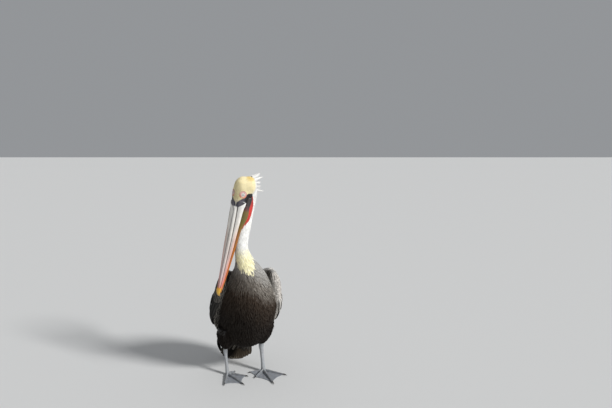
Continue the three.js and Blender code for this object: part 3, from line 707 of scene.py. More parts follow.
skinPoints, skinQuads = remeshed("flesh", fleshShapes(), skinSizes["voxel"])
onNeckTop = ease(skinPoints[:, 2], *skinSizes["neckTop"])
skinPoints = relax(skinPoints, skinQuads, skinSizes["evened"], np.ones(len(skinPoints)))
onHead = ease(skinPoints[:, 2], *skinSizes["neckTop"])
skinPoints = relax(skinPoints, skinQuads, skinSizes["headEvened"], (0.35 + 0.65 * onNeckTop) * onHead)
hollowMiddle, hollowRadii = np.array(skinSizes["hollow"])
hollowGap = np.linalg.norm((skinPoints - hollowMiddle) / hollowRadii, axis=1)
skinPoints = relax(skinPoints, skinQuads, skinSizes["hollowEvened"], 1 - ease(hollowGap, 0.5, 1.2), -0.1)
headBehind, headOut, headOver = headPlace(skinPoints)
(behindAt, behindWide), (overAt, overWide) = skinSizes["fullAt"]
fuller = np.exp(-((headBehind - behindAt) / behindWide) ** 2 - ((headOver - overAt) / overWide) ** 2)
fuller = fuller * ease(-headOut, 12, 26) * (skinPoints[:, 2] > 660)
skinPoints = skinPoints - cheek * (head["fuller"] * fuller)[:, None]
if np.einsum("ij,ij->i", vertexNormals(skinPoints, skinQuads), skinPoints - skinPoints.mean(0)).mean() < 0:
    skinQuads = skinQuads[:, ::-1]
skinNormals = vertexNormals(skinPoints, skinQuads)
skinTree = BVHTree.FromPolygons(skinPoints.tolist(), skinQuads.tolist())
print(f"skin: {len(skinQuads)} squares")


def ontoSkin(points, reach):
    # nearest place on the skin, its soft normal, and whether it is near enough
    hits = [skinTree.find_nearest(Vector(p), reach) for p in points.tolist()]
    near = np.array([h[0] is not None for h in hits])
    spot = np.array([h[0] if h[0] is not None else (0, 0, 0) for h in hits], float)
    face = np.array([h[2] if h[0] is not None else 0 for h in hits])
    return spot, unit(skinNormals[skinQuads[face]].mean(1)), near


# markings, shared by skin and coat
colours = {
    "white": paint(234, 233, 229), "cream": paint(246, 233, 188), "yellow": paint(248, 240, 196),
    "golden": paint(230, 200, 118), "silver": paint(174, 172, 168), "slateBrown": paint(114, 108, 101),
    "brown": paint(52, 42, 34), "belly": paint(20, 15, 12), "thigh": paint(19, 14, 12),
    "back": paint(120, 116, 112), "slate": paint(74, 73, 84), "orbit": paint(230, 146, 108),
    "rim": paint(222, 160, 156),
    "gape": paint(22, 22, 25), "leg": paint(160, 163, 166), "web": paint(146, 150, 156),
}


def neckFront(points):  # 1 on the front of the neck, -1 behind it
    t = np.interp(points[:, 2], spine[:, 2], np.arange(len(spine)))
    centre = spineFrame(t)[0]
    rel = points - centre
    flat = unit(np.stack([rel[:, 0], rel[:, 1], np.zeros(len(rel))], -1))
    toFront = unit(np.array([0.3, -0.95, 0.0]))
    return flat @ toFront


def plumageTint(points, jitter=0.0):
    # belly to breast by height, the back by depth, then the pale neck, and last the crown
    z = points[:, 2] + jitter
    front = neckFront(points)
    depth = (points - trunkStart) @ backward
    sideways = (points - trunkStart) @ left
    shaded = 64 * (1 - ease(sideways, -35, 70))  # partly painted shade, darker towards the right side as if in the bill's shadow; the silver lies towards the left shoulder
    breast = ramp(z - shaded, [(190, colours["belly"]), (255, mix(colours["belly"], colours["brown"], 0.5)),
                               (300, colours["brown"]), (358, colours["slateBrown"]), (412, colours["silver"])])
    tint = mix(breast, colours["back"], ease(depth, 25, 60) * (1 - ease(z, 400, 440)))
    edge = 474 - 42 * np.clip((front - 0.3) / 0.7, 0, 1) ** 1.3  # where the pale neck ends, lower in front
    white = ease(z, edge - 2, edge + 2)
    streaks = 15 * wobble(points * np.array([1, 1, 0.12]), 7.0, 9) + 0.5 * jitter
    pale = np.maximum(ease(points[:, 2] + streaks, 478, 528), 1 - ease(front, -0.3, 0.5))
    neck = mix(colours["yellow"], colours["white"], np.maximum(pale, 0.45 * ease(streaks, 2, 12)))
    tint = mix(tint, neck, white)
    behind, _, over = headPlace(points)
    onHead = ease(behind, -6, 8) * ease(points[:, 2], 655, 680)
    creamy = ease(over, -24, -4) * (1 - ease(points[:, 1], -66, -48))
    crownTint = mix(colours["white"], colours["cream"], creamy)
    goldSpot = np.linalg.norm((points - np.array([33, -92, 748])) / np.array([15, 26, 15]), axis=1)
    crownTint = mix(crownTint, colours["golden"], 0.8 * (1 - ease(goldSpot, 0.5, 1.3)))
    return mix(tint, crownTint, onHead)


def bareFace(points):
    # where the head is bare skin: lores from the bill to the eye, a ring round each eye, and the gape
    behind, out, over = headPlace(points)
    side = np.abs(out)
    eyeGap = np.hypot(np.hypot(behind - face["eye"][0], side - face["eye"][1]), over - face["eye"][2])
    ringed = 1 - ease(eyeGap, face["ring"] - 0.8, face["ring"] + 0.8)
    wedge = 0.3 * np.clip(behind - 4, 0, 40)  # the forehead's feathers come to a point
    top = np.interp(side, *np.array(face["featherEdge"]).T)  # where the cheek's feathers begin
    lores = ease(side, wedge, wedge + 1.5) * (1 - ease(behind, top - 1.5, top + 1.5)) * ease(over, -22, -18)
    lobe = np.hypot(np.hypot(behind - face["gape"][0], side - face["gape"][1]), over - face["gape"][2])
    lobe = 1 - ease(lobe, face["gapeRadius"] + 0.6, face["gapeRadius"] + 2.2)
    chin = (1 - ease(behind, 26, 34)) * (1 - ease(over, -12, -8))
    chin = chin * ease(behind, -30, -20) * ease(over, -34, -27)
    bare = np.maximum(np.maximum(ringed, lores), np.maximum(lobe, chin))
    return bare * (points[:, 2] > face["lowest"]), ringed, lobe


def skinTint(points):
    # the coat's tint, darker; slate, black or rosy where the skin is bare
    tint = plumageTint(points) * 0.8
    bare, ringed, lobe = bareFace(points)
    behind, out, over = headPlace(points)
    dark = np.maximum(lobe, ease(np.abs(out), 16, 22) * (1 - ease(over, 3, 9)))
    skin = mix(colours["slate"], colours["gape"], dark)
    # orange towards the bill
    orbit = mix(colours["rim"], colours["orbit"], ease(face["eye"][0] - behind, -3, 8))
    skin = mix(skin, orbit, ringed * (1 - 0.6 * lobe))
    return mix(tint, skin, bare)


print("markings ready")


# the skin's small forms: legs, toes and webs are grown together, and then scutes are raised on them
def toeRings(base, tip, half, rows=40, columns=18):
    # ovals from the toe's root to its claw, thicker over each of three knuckles
    start, end = np.array([*base, 6.4]), np.array([*tip, 2.6])
    share = np.linspace(0, legs["clawShare"], rows)
    centre = start + np.outer(share, end - start)
    knuckle = sum(np.exp(-((share - k) / 0.05) ** 2) for k in (0.28, 0.53, 0.75))
    wide = half * (1 - 0.42 * share) * (1 + 0.22 * knuckle)
    high = np.maximum(2.4, (5.6 - 3.2 * share)) * (1 + 0.14 * knuckle)
    a = circle(columns)
    side = unit(np.cross(end - start, up))
    return (centre[:, None] + (wide[:, None] * np.cos(a))[..., None] * side
            + (high[:, None] * np.sin(a))[..., None] * up)


def webSheet(base, firstTip, nextTip, phase, rows=40, columns=40):
    # a thin sheet between two toes, hollowed along its front and rippled across
    root = np.array(base)
    ends = [root + (np.array(t) - root) * (legs["clawShare"] - 0.02) for t in (firstTip, nextTip)]
    r, q = np.meshgrid(np.linspace(0.05, 1, rows), np.linspace(0, 1, columns), indexing="ij")
    reach = r * (1 - legs["webHollow"] * np.sin(math.pi * q) ** 0.8 * r)
    flat = root + reach[..., None] * (ends[0] + (ends[1] - ends[0]) * q[..., None] - root)
    sag = np.sin(math.pi * q)
    height = 1.35 + 2.2 * (1 - r) * (1 - sag) + 0.5 * sag * np.sin(q * 17 + phase) * r
    sheet = np.concatenate([flat, height[..., None]], -1)
    thick = np.array([0, 0, 0.5 * legs["webThick"]])
    top, under = (sheet + thick).reshape(-1, 3), (sheet - thick).reshape(-1, 3)
    quads = gridQuads(rows, columns, False)
    count = rows * columns
    rim = np.concatenate([np.arange(columns), np.arange(1, rows) * columns + columns - 1,
                          count - 2 - np.arange(columns - 1), np.arange(rows - 2, 0, -1) * columns])
    after = np.roll(rim, -1)
    walls = np.stack([rim, after, after + count, rim + count], -1)
    return np.concatenate([top, under]), np.concatenate([quads, quads[:, ::-1] + count, walls]), noTriangles


def footShapes(shape, phase):
    # the shank, a knob, four toes, and three webs between them
    base = np.array(shape["toeBase"])
    heel = np.array(shape["heel"], float)
    foot = np.array([*base, 8.0])
    knee = bodyPoint(*shape["hip"]) * 0.35 + (heel + np.array(legs["overHeel"])) * 0.65
    path = [foot, *(foot + (heel - foot) * k for k in (0.12, 0.4, 0.75, 0.93)), heel,
            heel + np.array([2, -6, 16]), heel + np.array([3, -9, 30]), knee]
    sizes = np.array([(6.2, 6), (5.4, 6.4), (4.4, 6.2), (4.8, 6.8), (6.6, 8.2), (7.6, 8.6), (6.4, 7.4),
                      (6.4, 7.4), (10, 12)]) + shape["stout"]
    shapes = [closedTube(limbRings(path, sizes, 90, 26)), closedTube(ball((*base, 5.2), (8.4, 8.4, 7), 16, 24))]
    for index, tip in enumerate(shape["tips"]):
        shapes.append(closedTube(toeRings(base, tip, legs["toeHalf"][index])))
    for index in range(3):
        shapes.append(webSheet(base, shape["tips"][index], shape["tips"][index + 1], phase + index))
    return shapes


def scutes(points, normals, shape):
    # plates across the top of each toe and down the front of the shank, with a crack every few millimetres
    base = np.array([*shape["toeBase"], 6.4])
    height = np.zeros(len(points))
    for tip in shape["tips"]:
        end = np.array([*tip, 2.6])
        run = end - base
        share = np.clip((points - base) @ run / (run @ run), 0, 1)
        gap = np.linalg.norm((points - base - share[:, None] * run)[:, :2], axis=1)
        crack = np.abs(np.sin(share * np.linalg.norm(run) * math.pi / 3.4)) ** 0.5
        height = np.maximum(height, crack * (1 - ease(gap, 2.0, 4.4)) * ease(normals[:, 2], 0.2, 0.6))
    shank = ease(points[:, 2], 12, 20) * ease(-normals[:, 1], 0.1, 0.5)
    ringed = np.abs(np.sin(points[:, 2] * math.pi / 4.6 + 0.4 * np.sin(points[:, 0]))) ** 0.5
    return np.maximum(height, ringed * shank)


def feetParts():
    # each foot grown together and evened, with scutes and fine bumps raised
    for name, phase in (("right", 1.0), ("left", 3.1)):  # where the webs' ripples start
        shape = legs[name]
        points, quads = remeshed("foot", footShapes(shape, phase), skinSizes["footVoxel"])
        points = relax(points, quads, 8, np.ones(len(points)))
        normals = vertexNormals(points, quads)
        points = points + normals * (0.42 * (scutes(points, normals, shape) - 0.5)
                                     + 0.14 * wobble(points, 5.0, 11))[:, None]
        points[:, 2] = np.maximum(points[:, 2], 0.0)
        yield points, quads


def footTint(points):
    # grey legs, a little bluer and darker on the webs, and darker still along the toes
    tint = mix(colours["leg"], colours["web"], 1 - ease(points[:, 2], 3.4, 8))
    dusk = np.zeros(len(points))
    for name in ("right", "left"):
        base = np.array(legs[name]["toeBase"])
        for tip in legs[name]["tips"]:
            run = np.array(tip) - base
            share = np.clip((points[:, :2] - base) @ run / (run @ run), 0, 1)
            gap = np.linalg.norm(points[:, :2] - base - share[:, None] * run, axis=1)
            dusk = np.maximum(dusk, (1 - ease(gap, 3, 7)) * ease(share, 0.05, 0.4))
    return tint * (1 - 0.32 * dusk * (1 - ease(points[:, 2], 8, 16)))[:, None]


# feathers are closed vanes: a point in the skin, rings of a thin arched section, and a point at the tip
sections = {
    # across from -1 to 1, and 1 on top, 0 at the margins, -1 underneath
    "small": [(-1, 0), (0, -1), (1, 0), (0, 1)],
    "long": [(-1, 0), (-0.5, -1), (0.5, -1), (1, 0), (0.55, 1), (0.08, 1), (0, 2.2), (-0.08, 1), (-0.55, 1)],
}
outlines = {
    # share of the length, share of the half width
    "round": [(0.16, 0.5), (0.45, 0.92), (0.76, 1.0), (0.94, 0.6)],
    "pointed": [(0.16, 0.6), (0.42, 1.0), (0.72, 0.72), (0.92, 0.3)],
    "blade": [(0.03, 0.2), (0.1, 0.6), (0.2, 0.85), (0.32, 0.97), (0.45, 1.0), (0.58, 1.0), (0.7, 0.97),
              (0.8, 0.88), (0.88, 0.74), (0.94, 0.55), (0.98, 0.32)],
    "plume": [(0.08, 0.8), (0.25, 1.0), (0.45, 0.9), (0.65, 0.66), (0.82, 0.42), (0.94, 0.2)],
}
patchSize = 0.003  # how much of the map each feather takes
mostTriangles = 190000  # in one piece of the coat


def shares(outline):  # places along a feather, with its two ends
    return np.array([0.0, *(row[0] for row in outlines[outline]), 1.0])


def vanePoints(line, normal, half, outline, section, thick, camber):
    # line + side * half width * across + normal * (arch of the vane + half its thickness)
    across, level = np.array(sections[section], float).T
    tangent = unit(np.gradient(line, axis=1))
    side = unit(np.cross(normal, tangent))
    lift = np.cross(tangent, side)
    wide = half[:, None] * np.array([row[1] for row in outlines[outline]])
    arch = camber * wide[..., None] * (1 - across ** 2) + 0.5 * thick * level
    rows = (line[:, 1:-1, None] + side[:, 1:-1, None] * (wide[..., None] * across)[..., None]
            + lift[:, 1:-1, None] * arch[..., None])
    count = len(line)
    points = np.concatenate([line[:, :1], rows.reshape(count, -1, 3), line[:, -1:]], 1)
    steps = shares(outline)
    alongs = np.concatenate([[0.0], np.repeat(steps[1:-1], len(across)), [1.0]])
    acrosses = np.concatenate([[0.0], np.tile(across, len(steps) - 2), [0.0]])
    return points, alongs, acrosses


def vaneFaces(rowCount, ringCount):
    # squares round the vane's rings, and a fan of triangles at each end
    body = gridQuads(rowCount, ringCount, True) + 1
    a = np.arange(ringCount)
    b = (a + 1) % ringCount
    end = 1 + (rowCount - 1) * ringCount
    last = 1 + rowCount * ringCount
    caps = np.concatenate([np.stack([b + 1, a + 1, np.zeros_like(a)], -1),
                           np.stack([end + a, end + b, np.full_like(a, last)], -1)])
    return body, caps


def addPlumage(name, plumes, material, nodes=()):
    # joined meshes of feathers, in as many pieces as the triangles need
    outline, section = plumes["outline"], plumes["section"]
    ringCount, rowCount = len(sections[section]), len(outlines[outline])
    quads, caps = vaneFaces(rowCount, ringCount)
    limit = mostTriangles // (2 * len(quads) + len(caps))
    total = len(plumes["line"])
    parts = max(1, math.ceil(total / limit))
    for part in range(parts):
        pick = slice(part * total // parts, (part + 1) * total // parts)
        shape = (plumes[key][pick] for key in ("line", "normal", "half"))
        points, alongs, acrosses = vanePoints(*shape, outline, section, plumes["thick"], plumes["camber"])
        count, each = points.shape[:2]
        first = (np.arange(count) * each)[:, None, None]
        solid = points.reshape(-1, 3), (quads + first).reshape(-1, 4), (caps + first).reshape(-1, 3)
        mesh = meshFrom(name, solid)
        chance = np.random.default_rng(count + part).uniform(0, 1, count)
        spread = lambda values: np.repeat(values, each, 0)
        addAttribute(mesh, "plumeTint", spread(plumes["tint"][pick]))
        vane = np.stack([np.tile(alongs, count), np.tile(acrosses, count), spread(chance)], -1)
        addAttribute(mesh, "vane", vane)
        addAttribute(mesh, "mark", spread(plumes["mark"][pick]))
        corners = np.zeros(len(mesh.loops), np.int32)
        mesh.loops.foreach_get("vertex_index", corners)
        patch = np.stack([np.tile(0.5 * acrosses, count), np.tile(alongs - 0.5, count)], -1) * patchSize
        place = np.clip(spread(plumes["place"][pick]), patchSize, 1 - patchSize) + patch
        mesh.uv_layers.new(name="OFBake").data.foreach_set("uv", place[corners].astype(np.float32).ravel())
        ends = np.zeros(len(mesh.edges) * 2, np.int32)
        mesh.edges.foreach_get("vertices", ends)
        ends = ends.reshape(-1, 2)
        where = np.tile(acrosses, count)[ends]
        tipped = np.isin(ends % each, (0, each - 1))
        oneSide = np.abs(np.diff(where, axis=1))[:, 0] < 1.5  # both ends on the same margin
        sharp = ((np.abs(where) > 0.99) | tipped).all(1) & oneSide
        mesh.attributes.new("sharp_edge", "BOOLEAN", "EDGE").data.foreach_set("value", sharp)
        label = name if parts == 1 else f"{name}_{part + 1}"
        addPiece(label, mesh, material, nodes if part == 0 else (), turnOut=False)


def lyingPlumes(roots, lies, lengths, depths, outline, reach=5.0):
    # feathers that leave the skin at their roots and end one coat's depth over it, further along the lie
    spots, normals, near = ontoSkin(roots, reach)
    flat = unit(lies - normals * np.einsum("ij,ij->i", lies, normals)[:, None])
    ends, endNormals, landed = ontoSkin(spots + flat * lengths[:, None], 60.0)
    keep = near & landed & (np.einsum("ij,ij->i", normals, endNormals) > 0.2)
    s = shares(outline)[None, :, None]
    rise = (1 - (1 - s) ** 2) * depths[:, None, None] - 0.5 * (1 - s)
    normal = unit(normals[:, None] * (1 - s) + endNormals[:, None] * s)
    chord = unit(ends - spots)[:, None] * lengths[:, None, None] * s
    bow = np.linalg.norm(ends - spots, axis=1)[:, None, None] * 0.12 * s * (1 - s) * (
        1 - np.einsum("ij,ij->i", normals, endNormals))[:, None, None] * 4
    line = spots[:, None] + chord + normal * (rise + bow)
    return line, normal, spots, keep


perFeather = ("line", "normal", "half", "tint", "mark", "place")


def batch(line, normal, half, tint, mark, place, outline, section="small", thick=0.3, camber=0.3):
    return {"line": line, "normal": normal, "half": half, "tint": tint, "mark": mark, "place": place,
            "outline": outline, "section": section, "thick": thick, "camber": camber}


def only(plumes, keep):  # the feathers that found their place on the skin
    return {key: value[keep] if key in perFeather else value for key, value in plumes.items()}


def stack(batches):
    whole = dict(batches[0])
    for key in perFeather:
        whole[key] = np.concatenate([b[key] for b in batches])
    return whole


def marks(shaft, edge, count):  # how much a feather's shaft and edge show, and one number by chance
    return np.stack([shaft + np.zeros(count), edge + np.zeros(count), rng.random(count)], -1)


coats = {
    # stations from and to, length, half width, gap along, gap across, shaft, edge
    "trunk": [(1.0, 6.4, 25.0, 3.0, 6.2, 3.7, 0.34, 0.2)],
    "neck": [(6.2, 8.6, 19.0, 2.2, 4.6, 2.9, 0.06, 0.0), (8.4, 15.0, 13.5, 1.75, 3.2, 2.1, 0.0, 0.0)],
}


def staggered(rows, counts):  # roots round each row, every other row turned by half a gap
    angles = [(np.arange(n) + 0.5 * (i % 2)) / n * 2 * math.pi for i, n in enumerate(counts)]
    return np.repeat(rows, counts), np.concatenate(angles)


def spineCoat(first, last, length, half, gapAlong, gapAcross, shaft, edge):
    # rows of roots down the trunk or neck, each row set half a gap round from the one before
    fine = np.linspace(first, last, 400)
    centre = spineFrame(fine)[0]
    walked = np.concatenate([[0], np.cumsum(np.linalg.norm(np.diff(centre, axis=0), axis=1))])
    rows = np.interp(np.arange(0, walked[-1], gapAlong), walked, fine)
    around = 2 * math.pi * through(spine[:, 3:], rows).mean(-1)
    counts = np.maximum(8, (around / gapAcross).astype(int))
    t, angle = staggered(rows, counts)
    t = t + rng.normal(0, 0.28 * gapAlong / walked[-1] * (last - first), len(t))
    angle = angle + rng.normal(0, 0.22, len(t)) * gapAcross / 40
    roots = spineSurface(t, angle, through(coatDepth, t)[..., 0])
    lies = -spineFrame(t)[3] + rng.normal(0, 0.06, (len(t), 3))
    size = rng.uniform(0.85, 1.15, len(t))
    depth = through(coatDepth, t)[..., 0] * rng.uniform(0.72, 1.08, len(t)) * (1 - 0.4 * ease(t, 8, 10))
    line, normal, spots, keep = lyingPlumes(roots, lies, length * size, depth, "pointed")
    edgeWobble = (4.0 * wobble(spots, 16.0, 5) + 15.0 * wobble(spots * np.array([1, 1, 0.1]), 7.0, 6)
                  + rng.normal(0, 3.0, len(t)))
    tint = plumageTint(spots, edgeWobble) * rng.uniform(0.9, 1.08, (len(t), 1))
    bright = tint.mean(-1)
    # few shafts show on the black belly
    clear = ease(bright, 0.012, 0.14) * (1 - 0.55 * ease(bright, 0.3, 0.6))
    mark = marks(shaft * (0.4 + 0.9 * rng.random(len(t))) * (0.16 + 0.84 * clear), edge, len(t))
    place = np.stack([(angle / (2 * math.pi)) % 1.0, t / lastStation], -1)
    return only(batch(line, normal, half * size, tint, mark, place, "pointed"), keep)


headCoat = {
    "rays": 19000,
    "short": (2.8, 0.5),  # length and half width beside the bare face
    "crown": (7.0, 0.92),
    "nape": (12.0, 1.15),
    "pivot": (22.0, -15.0),  # behind the bill's base and over the gape: the lie turns round this line
}


def headRoots(count):
    # even directions from the middle of the head, each followed out to the skin
    i = np.arange(count) + 0.5
    z = 1 - 2 * i / count
    a = i * math.pi * (3 - math.sqrt(5))
    ways = np.stack([np.sqrt(1 - z * z) * np.cos(a), np.sqrt(1 - z * z) * np.sin(a), z], -1)
    middle = Vector(head["middle"])
    hits = [skinTree.ray_cast(middle, Vector(w), 90.0)[0] for w in ways.tolist()]
    found = np.array([h is not None for h in hits])
    points = np.array([h if h is not None else (0, 0, 0) for h in hits], float)
    return points[found], ways[found]


def headPlumes():
    # plumes lying in circles round a line from cheek to cheek, longer on crown and nape
    points, ways = headRoots(headCoat["rays"])
    bare = bareFace(points)[0]
    behind, out, over = headPlace(points)
    low = 672 + 12 * ease(points[:, 1], -78, -60)
    keep = (bare < 0.45) & (points[:, 2] > low) & (behind > 1.0)
    points, ways, behind, out, over = (v[keep] for v in (points, ways, behind, out, over))
    pivotBehind, pivotOver = headCoat["pivot"]
    spoke = points - headPoint(-pivotBehind, 0.0, pivotOver)
    lies = np.cross(spoke, cheek) + rng.normal(0, 1.6, spoke.shape)
    eyeGap = np.hypot(behind - face["eye"][0], over - face["eye"][2])
    faceGap = np.minimum(np.hypot(behind, over - 14) * 0.9, eyeGap - 8)
    toCrown = ease(faceGap, 1, 26)
    toNape = ease(points[:, 1], -66, -38)
    sizes = [mix(mix(headCoat["short"][k], headCoat["crown"][k], toCrown), headCoat["nape"][k], toNape)
             for k in (0, 1)]
    size = rng.uniform(0.82, 1.18, len(points))
    depth = (0.7 + 1.7 * toCrown + 1.0 * toNape) * rng.uniform(0.75, 1.1, len(points))
    line, normal, spots, near = lyingPlumes(points, lies, sizes[0] * size, depth, "pointed")
    tint = plumageTint(spots) * rng.uniform(0.92, 1.05, (len(points), 1))
    mark = marks(0.0, 0.06, len(points))
    place = np.stack([(np.arctan2(ways[:, 1], ways[:, 0]) / (2 * math.pi)) % 1.0,
                      np.arccos(np.clip(ways[:, 2], -1, 1)) / math.pi], -1)
    made = batch(line, normal, sizes[1] * size, tint, mark, place, "pointed", thick=0.16, camber=0.25)
    return only(made, near)


def thighPlumes():
    # rows of plumes round each thigh, lying from hip to knee
    made, rows, columns = [], 24, 34
    for number, name in enumerate(("right", "left")):
        shape = legs[name]
        t, angle = rings(rows, columns, 0.6, 3.95)
        t, angle = t.ravel(), (angle + (np.arange(rows) % 2)[:, None] * math.pi / columns).ravel()
        path, run = thighPath(shape)
        sideways = unit(np.cross(run, up))
        frontways = unit(np.cross(run, sideways))
        size = through(np.array(legs["thighSizes"]) - legs["thighCoat"], t)
        roots = (through(path, t) + sideways * (size[:, 0] * np.cos(angle))[:, None]
                 + frontways * (size[:, 1] * np.sin(angle))[:, None])
        count = len(roots)
        lies = unit(run) + rng.normal(0, 0.08, (count, 3))
        scale = rng.uniform(0.85, 1.15, count) * (1 - 0.35 * ease(t, 2.5, 4))
        depth = legs["thighCoat"] * rng.uniform(0.7, 1.1, count)
        line, normal, _, keep = lyingPlumes(roots, lies, 19 * scale, depth, "pointed", 6.0)
        tint = np.tile(colours["thigh"], (count, 1)) * rng.uniform(0.85, 1.2, (count, 1))
        mark = marks(0.08 * rng.random(count), 0.1, count)
        place = np.stack([0.05 + 0.9 * (angle / (2 * math.pi) % 1.0), 0.02 + 0.48 * (t / 4 + number)], -1)
        made.append(only(batch(line, normal, 2.5 * scale, tint, mark, place, "pointed"), keep))
    return stack(made)


# the face: lids and folds are raised on the skin, and a socket is sunk for each eye
eyeAxis = {side: unit(0.71 * side * cheek + 0.70 * crown + 0.08 * facing) for side in (-1, 1)}


def eyeLevel(side):  # how far out of the eye's middle the skin round it lies
    outward, gap = besideAxis(skinPoints - facePoint(face["eye"], side), eyeAxis[side])
    return outward[(gap > 6) & (gap < 12) & (outward > -9)].mean()


eyeLevels = {side: eyeLevel(side) for side in (-1, 1)}


def eyeCentre(side):  # moved along its axis to the level of the skin round it
    return facePoint(face["eye"], side) + eyeAxis[side] * eyeLevels[side]


def faceForms(points, normals):
    # round each eye a flat ring, a groove, a fold and a socket; then the gape's fold and lobes
    height = np.zeros(len(points))
    bare, _, lobe = bareFace(points)
    behind, out, over = headPlace(points)
    for side in (-1, 1):
        outward, gap = besideAxis(points - eyeCentre(side), eyeAxis[side])
        near = ease(outward, -9, -6)
        opening = face["openRadius"]
        points = points - eyeAxis[side] * (outward * near * (1 - ease(gap, 9, 15)))[:, None]
        height += near * (-3.6 * (1 - ease(gap, opening - 0.2, opening + 1.4))
                          - 0.35 * np.exp(-((gap - opening - 4.2) / 0.5) ** 2)
                          + 0.4 * np.exp(-((gap - opening - 5.2) / 0.7) ** 2))
    line = over + 6 - 0.16 * behind  # the gape's fold runs back from the bill
    height += (0.8 * np.exp(-((line - 2.2) / 1.4) ** 2) - 1.0 * np.exp(-(line / 1.2) ** 2)) * ease(
        np.abs(out), 12, 18) * (1 - ease(behind, 30, 38))
    height += 0.9 * lobe + bare * (0.22 * wobble(points, 4.5, 21) + 0.12 * wobble(points, 2.4, 22))
    return points + normals * (height * (points[:, 2] > face["lowest"]))[:, None]


def splitSquares(points, quads, chosen):
    # each chosen square becomes sixteen, and its neighbours take up the new points on their edges
    work = bmesh.new()
    verts = [work.verts.new(p) for p in points.tolist()]
    faces = [work.faces.new([verts[i] for i in q]) for q in quads.tolist()]
    picked = {e for f, c in zip(faces, chosen.tolist()) if c for e in f.edges}
    bmesh.ops.subdivide_edges(work, edges=list(picked), cuts=3, use_grid_fill=True)
    bmesh.ops.triangulate(work, faces=[f for f in work.faces if len(f.verts) > 4])
    work.verts.index_update()
    points = np.array([v.co[:] for v in work.verts])
    quads = np.array([[v.index for v in f.verts] for f in work.faces if len(f.verts) == 4])
    tris = np.array([[v.index for v in f.verts] for f in work.faces if len(f.verts) == 3]).reshape(-1, 3)
    work.free()
    return points, quads, tris


def makeSkin():
    # squares split and evened where the skin is bare, forms raised, and the feet added
    middle = skinPoints[skinQuads].mean(1)
    bare = bareFace(middle)[0]
    points, quads, tris = splitSquares(skinPoints, skinQuads, bare > 0.02)
    halves = np.concatenate([quads[:, [0, 1, 2, 2]], quads[:, [0, 2, 3, 3]], tris[:, [0, 1, 2, 2]]])
    near = bareFace(points)[0] > 0.02
    points = relax(points, halves, 6, near * 1.0)
    normals = vertexNormals(points, halves)
    points = faceForms(points, normals)
    sets, tints = [(points, quads, tris)], [skinTint(points)]
    for footPoints, footQuads in feetParts():
        sets.append((footPoints, footQuads, noTriangles))
        tints.append(footTint(footPoints))
    mesh = meshFrom("skin", joined(sets))
    addAttribute(mesh, "skinTint", np.concatenate(tints))
    nodes = ["head", "neck_upper", "neck_lower", "trunk"]
    nodes += [f"{part}_{side}" for side in ("right", "left") for part in ("wing", "thigh", "leg", "foot")]
    addPiece("skin", mesh, skinMaterial, nodes)


makeSkin()
for station in coats["trunk"]:
    addPlumage("coat_trunk", spineCoat(*station), plumeMaterial)
addPlumage("coat_neck", stack([spineCoat(*station) for station in coats["neck"]]), plumeMaterial)
addPlumage("coat_head", headPlumes(), plumeMaterial)
addPlumage("coat_thighs", thighPlumes(), plumeMaterial)
print("coat ready")


# wings: small coverts all over, then rows of longer feathers, each over the roots of the next
wingCoverts = {"first": 130.0, "last": -146.0, "gapAlong": 6.4, "gapAcross": 4.6, "shortEnd": -4.0}
wingRows = {
    # each row runs from the lower edge of the wing to its upper edge: roots and tips along the trunk's
    # axis, angles of roots and tips round the wing in half turns, half widths, height over the surface
    "primaries": {"count": 9, "roots": (-112, -140), "tips": (-331, -212), "angles": (0.74, 0.4),
                  "tipAngles": (0.5, 0.4), "half": (8.0, 8.5), "lift": -1.0, "tint": paint(30, 27, 25),
                  "far": paint(26, 23, 22), "shaft": 0.5, "edge": 0.5},
    "secondaries": {"count": 13, "roots": (-62, -58), "tips": (-226, -176), "angles": (0.86, 0.22),
                    "tipAngles": (0.66, 0.22), "half": (8.0, 9.5), "lift": 1.0, "tint": paint(102, 98, 93),
                    "far": paint(58, 52, 48), "shaft": 0.5, "edge": 0.75},
    "greater": {"count": 13, "roots": (-6, -18), "tips": (-112, -128), "angles": (0.96, 0.16),
                "tipAngles": (0.88, 0.18), "half": (8.0, 9.0), "lift": 2.6, "tint": paint(190, 187, 182),
                "far": paint(136, 131, 126), "shaft": 0.45, "edge": 0.85},
    "median": {"count": 14, "roots": (38, 30), "tips": (-42, -50), "angles": (0.98, 0.08),
               "tipAngles": (0.95, 0.1), "half": (7.0, 7.8), "lift": 3.6, "tint": paint(198, 195, 190),
               "far": paint(144, 139, 134), "shaft": 0.35, "edge": 0.8},
}
mantleRows = {
    # starts along the trunk's axis and out from its middle, lengths, half widths, outward slant, height
    "shoulder": {"count": 11, "starts": (104, 88), "outs": (4, 62), "lengths": (80, 74), "half": (7.5, 7.5),
                 "slant": 0.10, "lift": 7.5, "tint": paint(146, 142, 138)},
    "scapular": {"count": 10, "starts": (58, 36), "outs": (5, 66), "lengths": (104, 112), "half": (9.0, 9.5),
                 "slant": 0.06, "lift": 9.0, "tint": paint(138, 132, 127)},
    "tertial": {"count": 8, "starts": (4, -18), "outs": (6, 58), "lengths": (132, 150), "half": (10.5, 11.0),
                "slant": 0.0, "lift": 8.0, "tint": paint(118, 110, 104)},
}


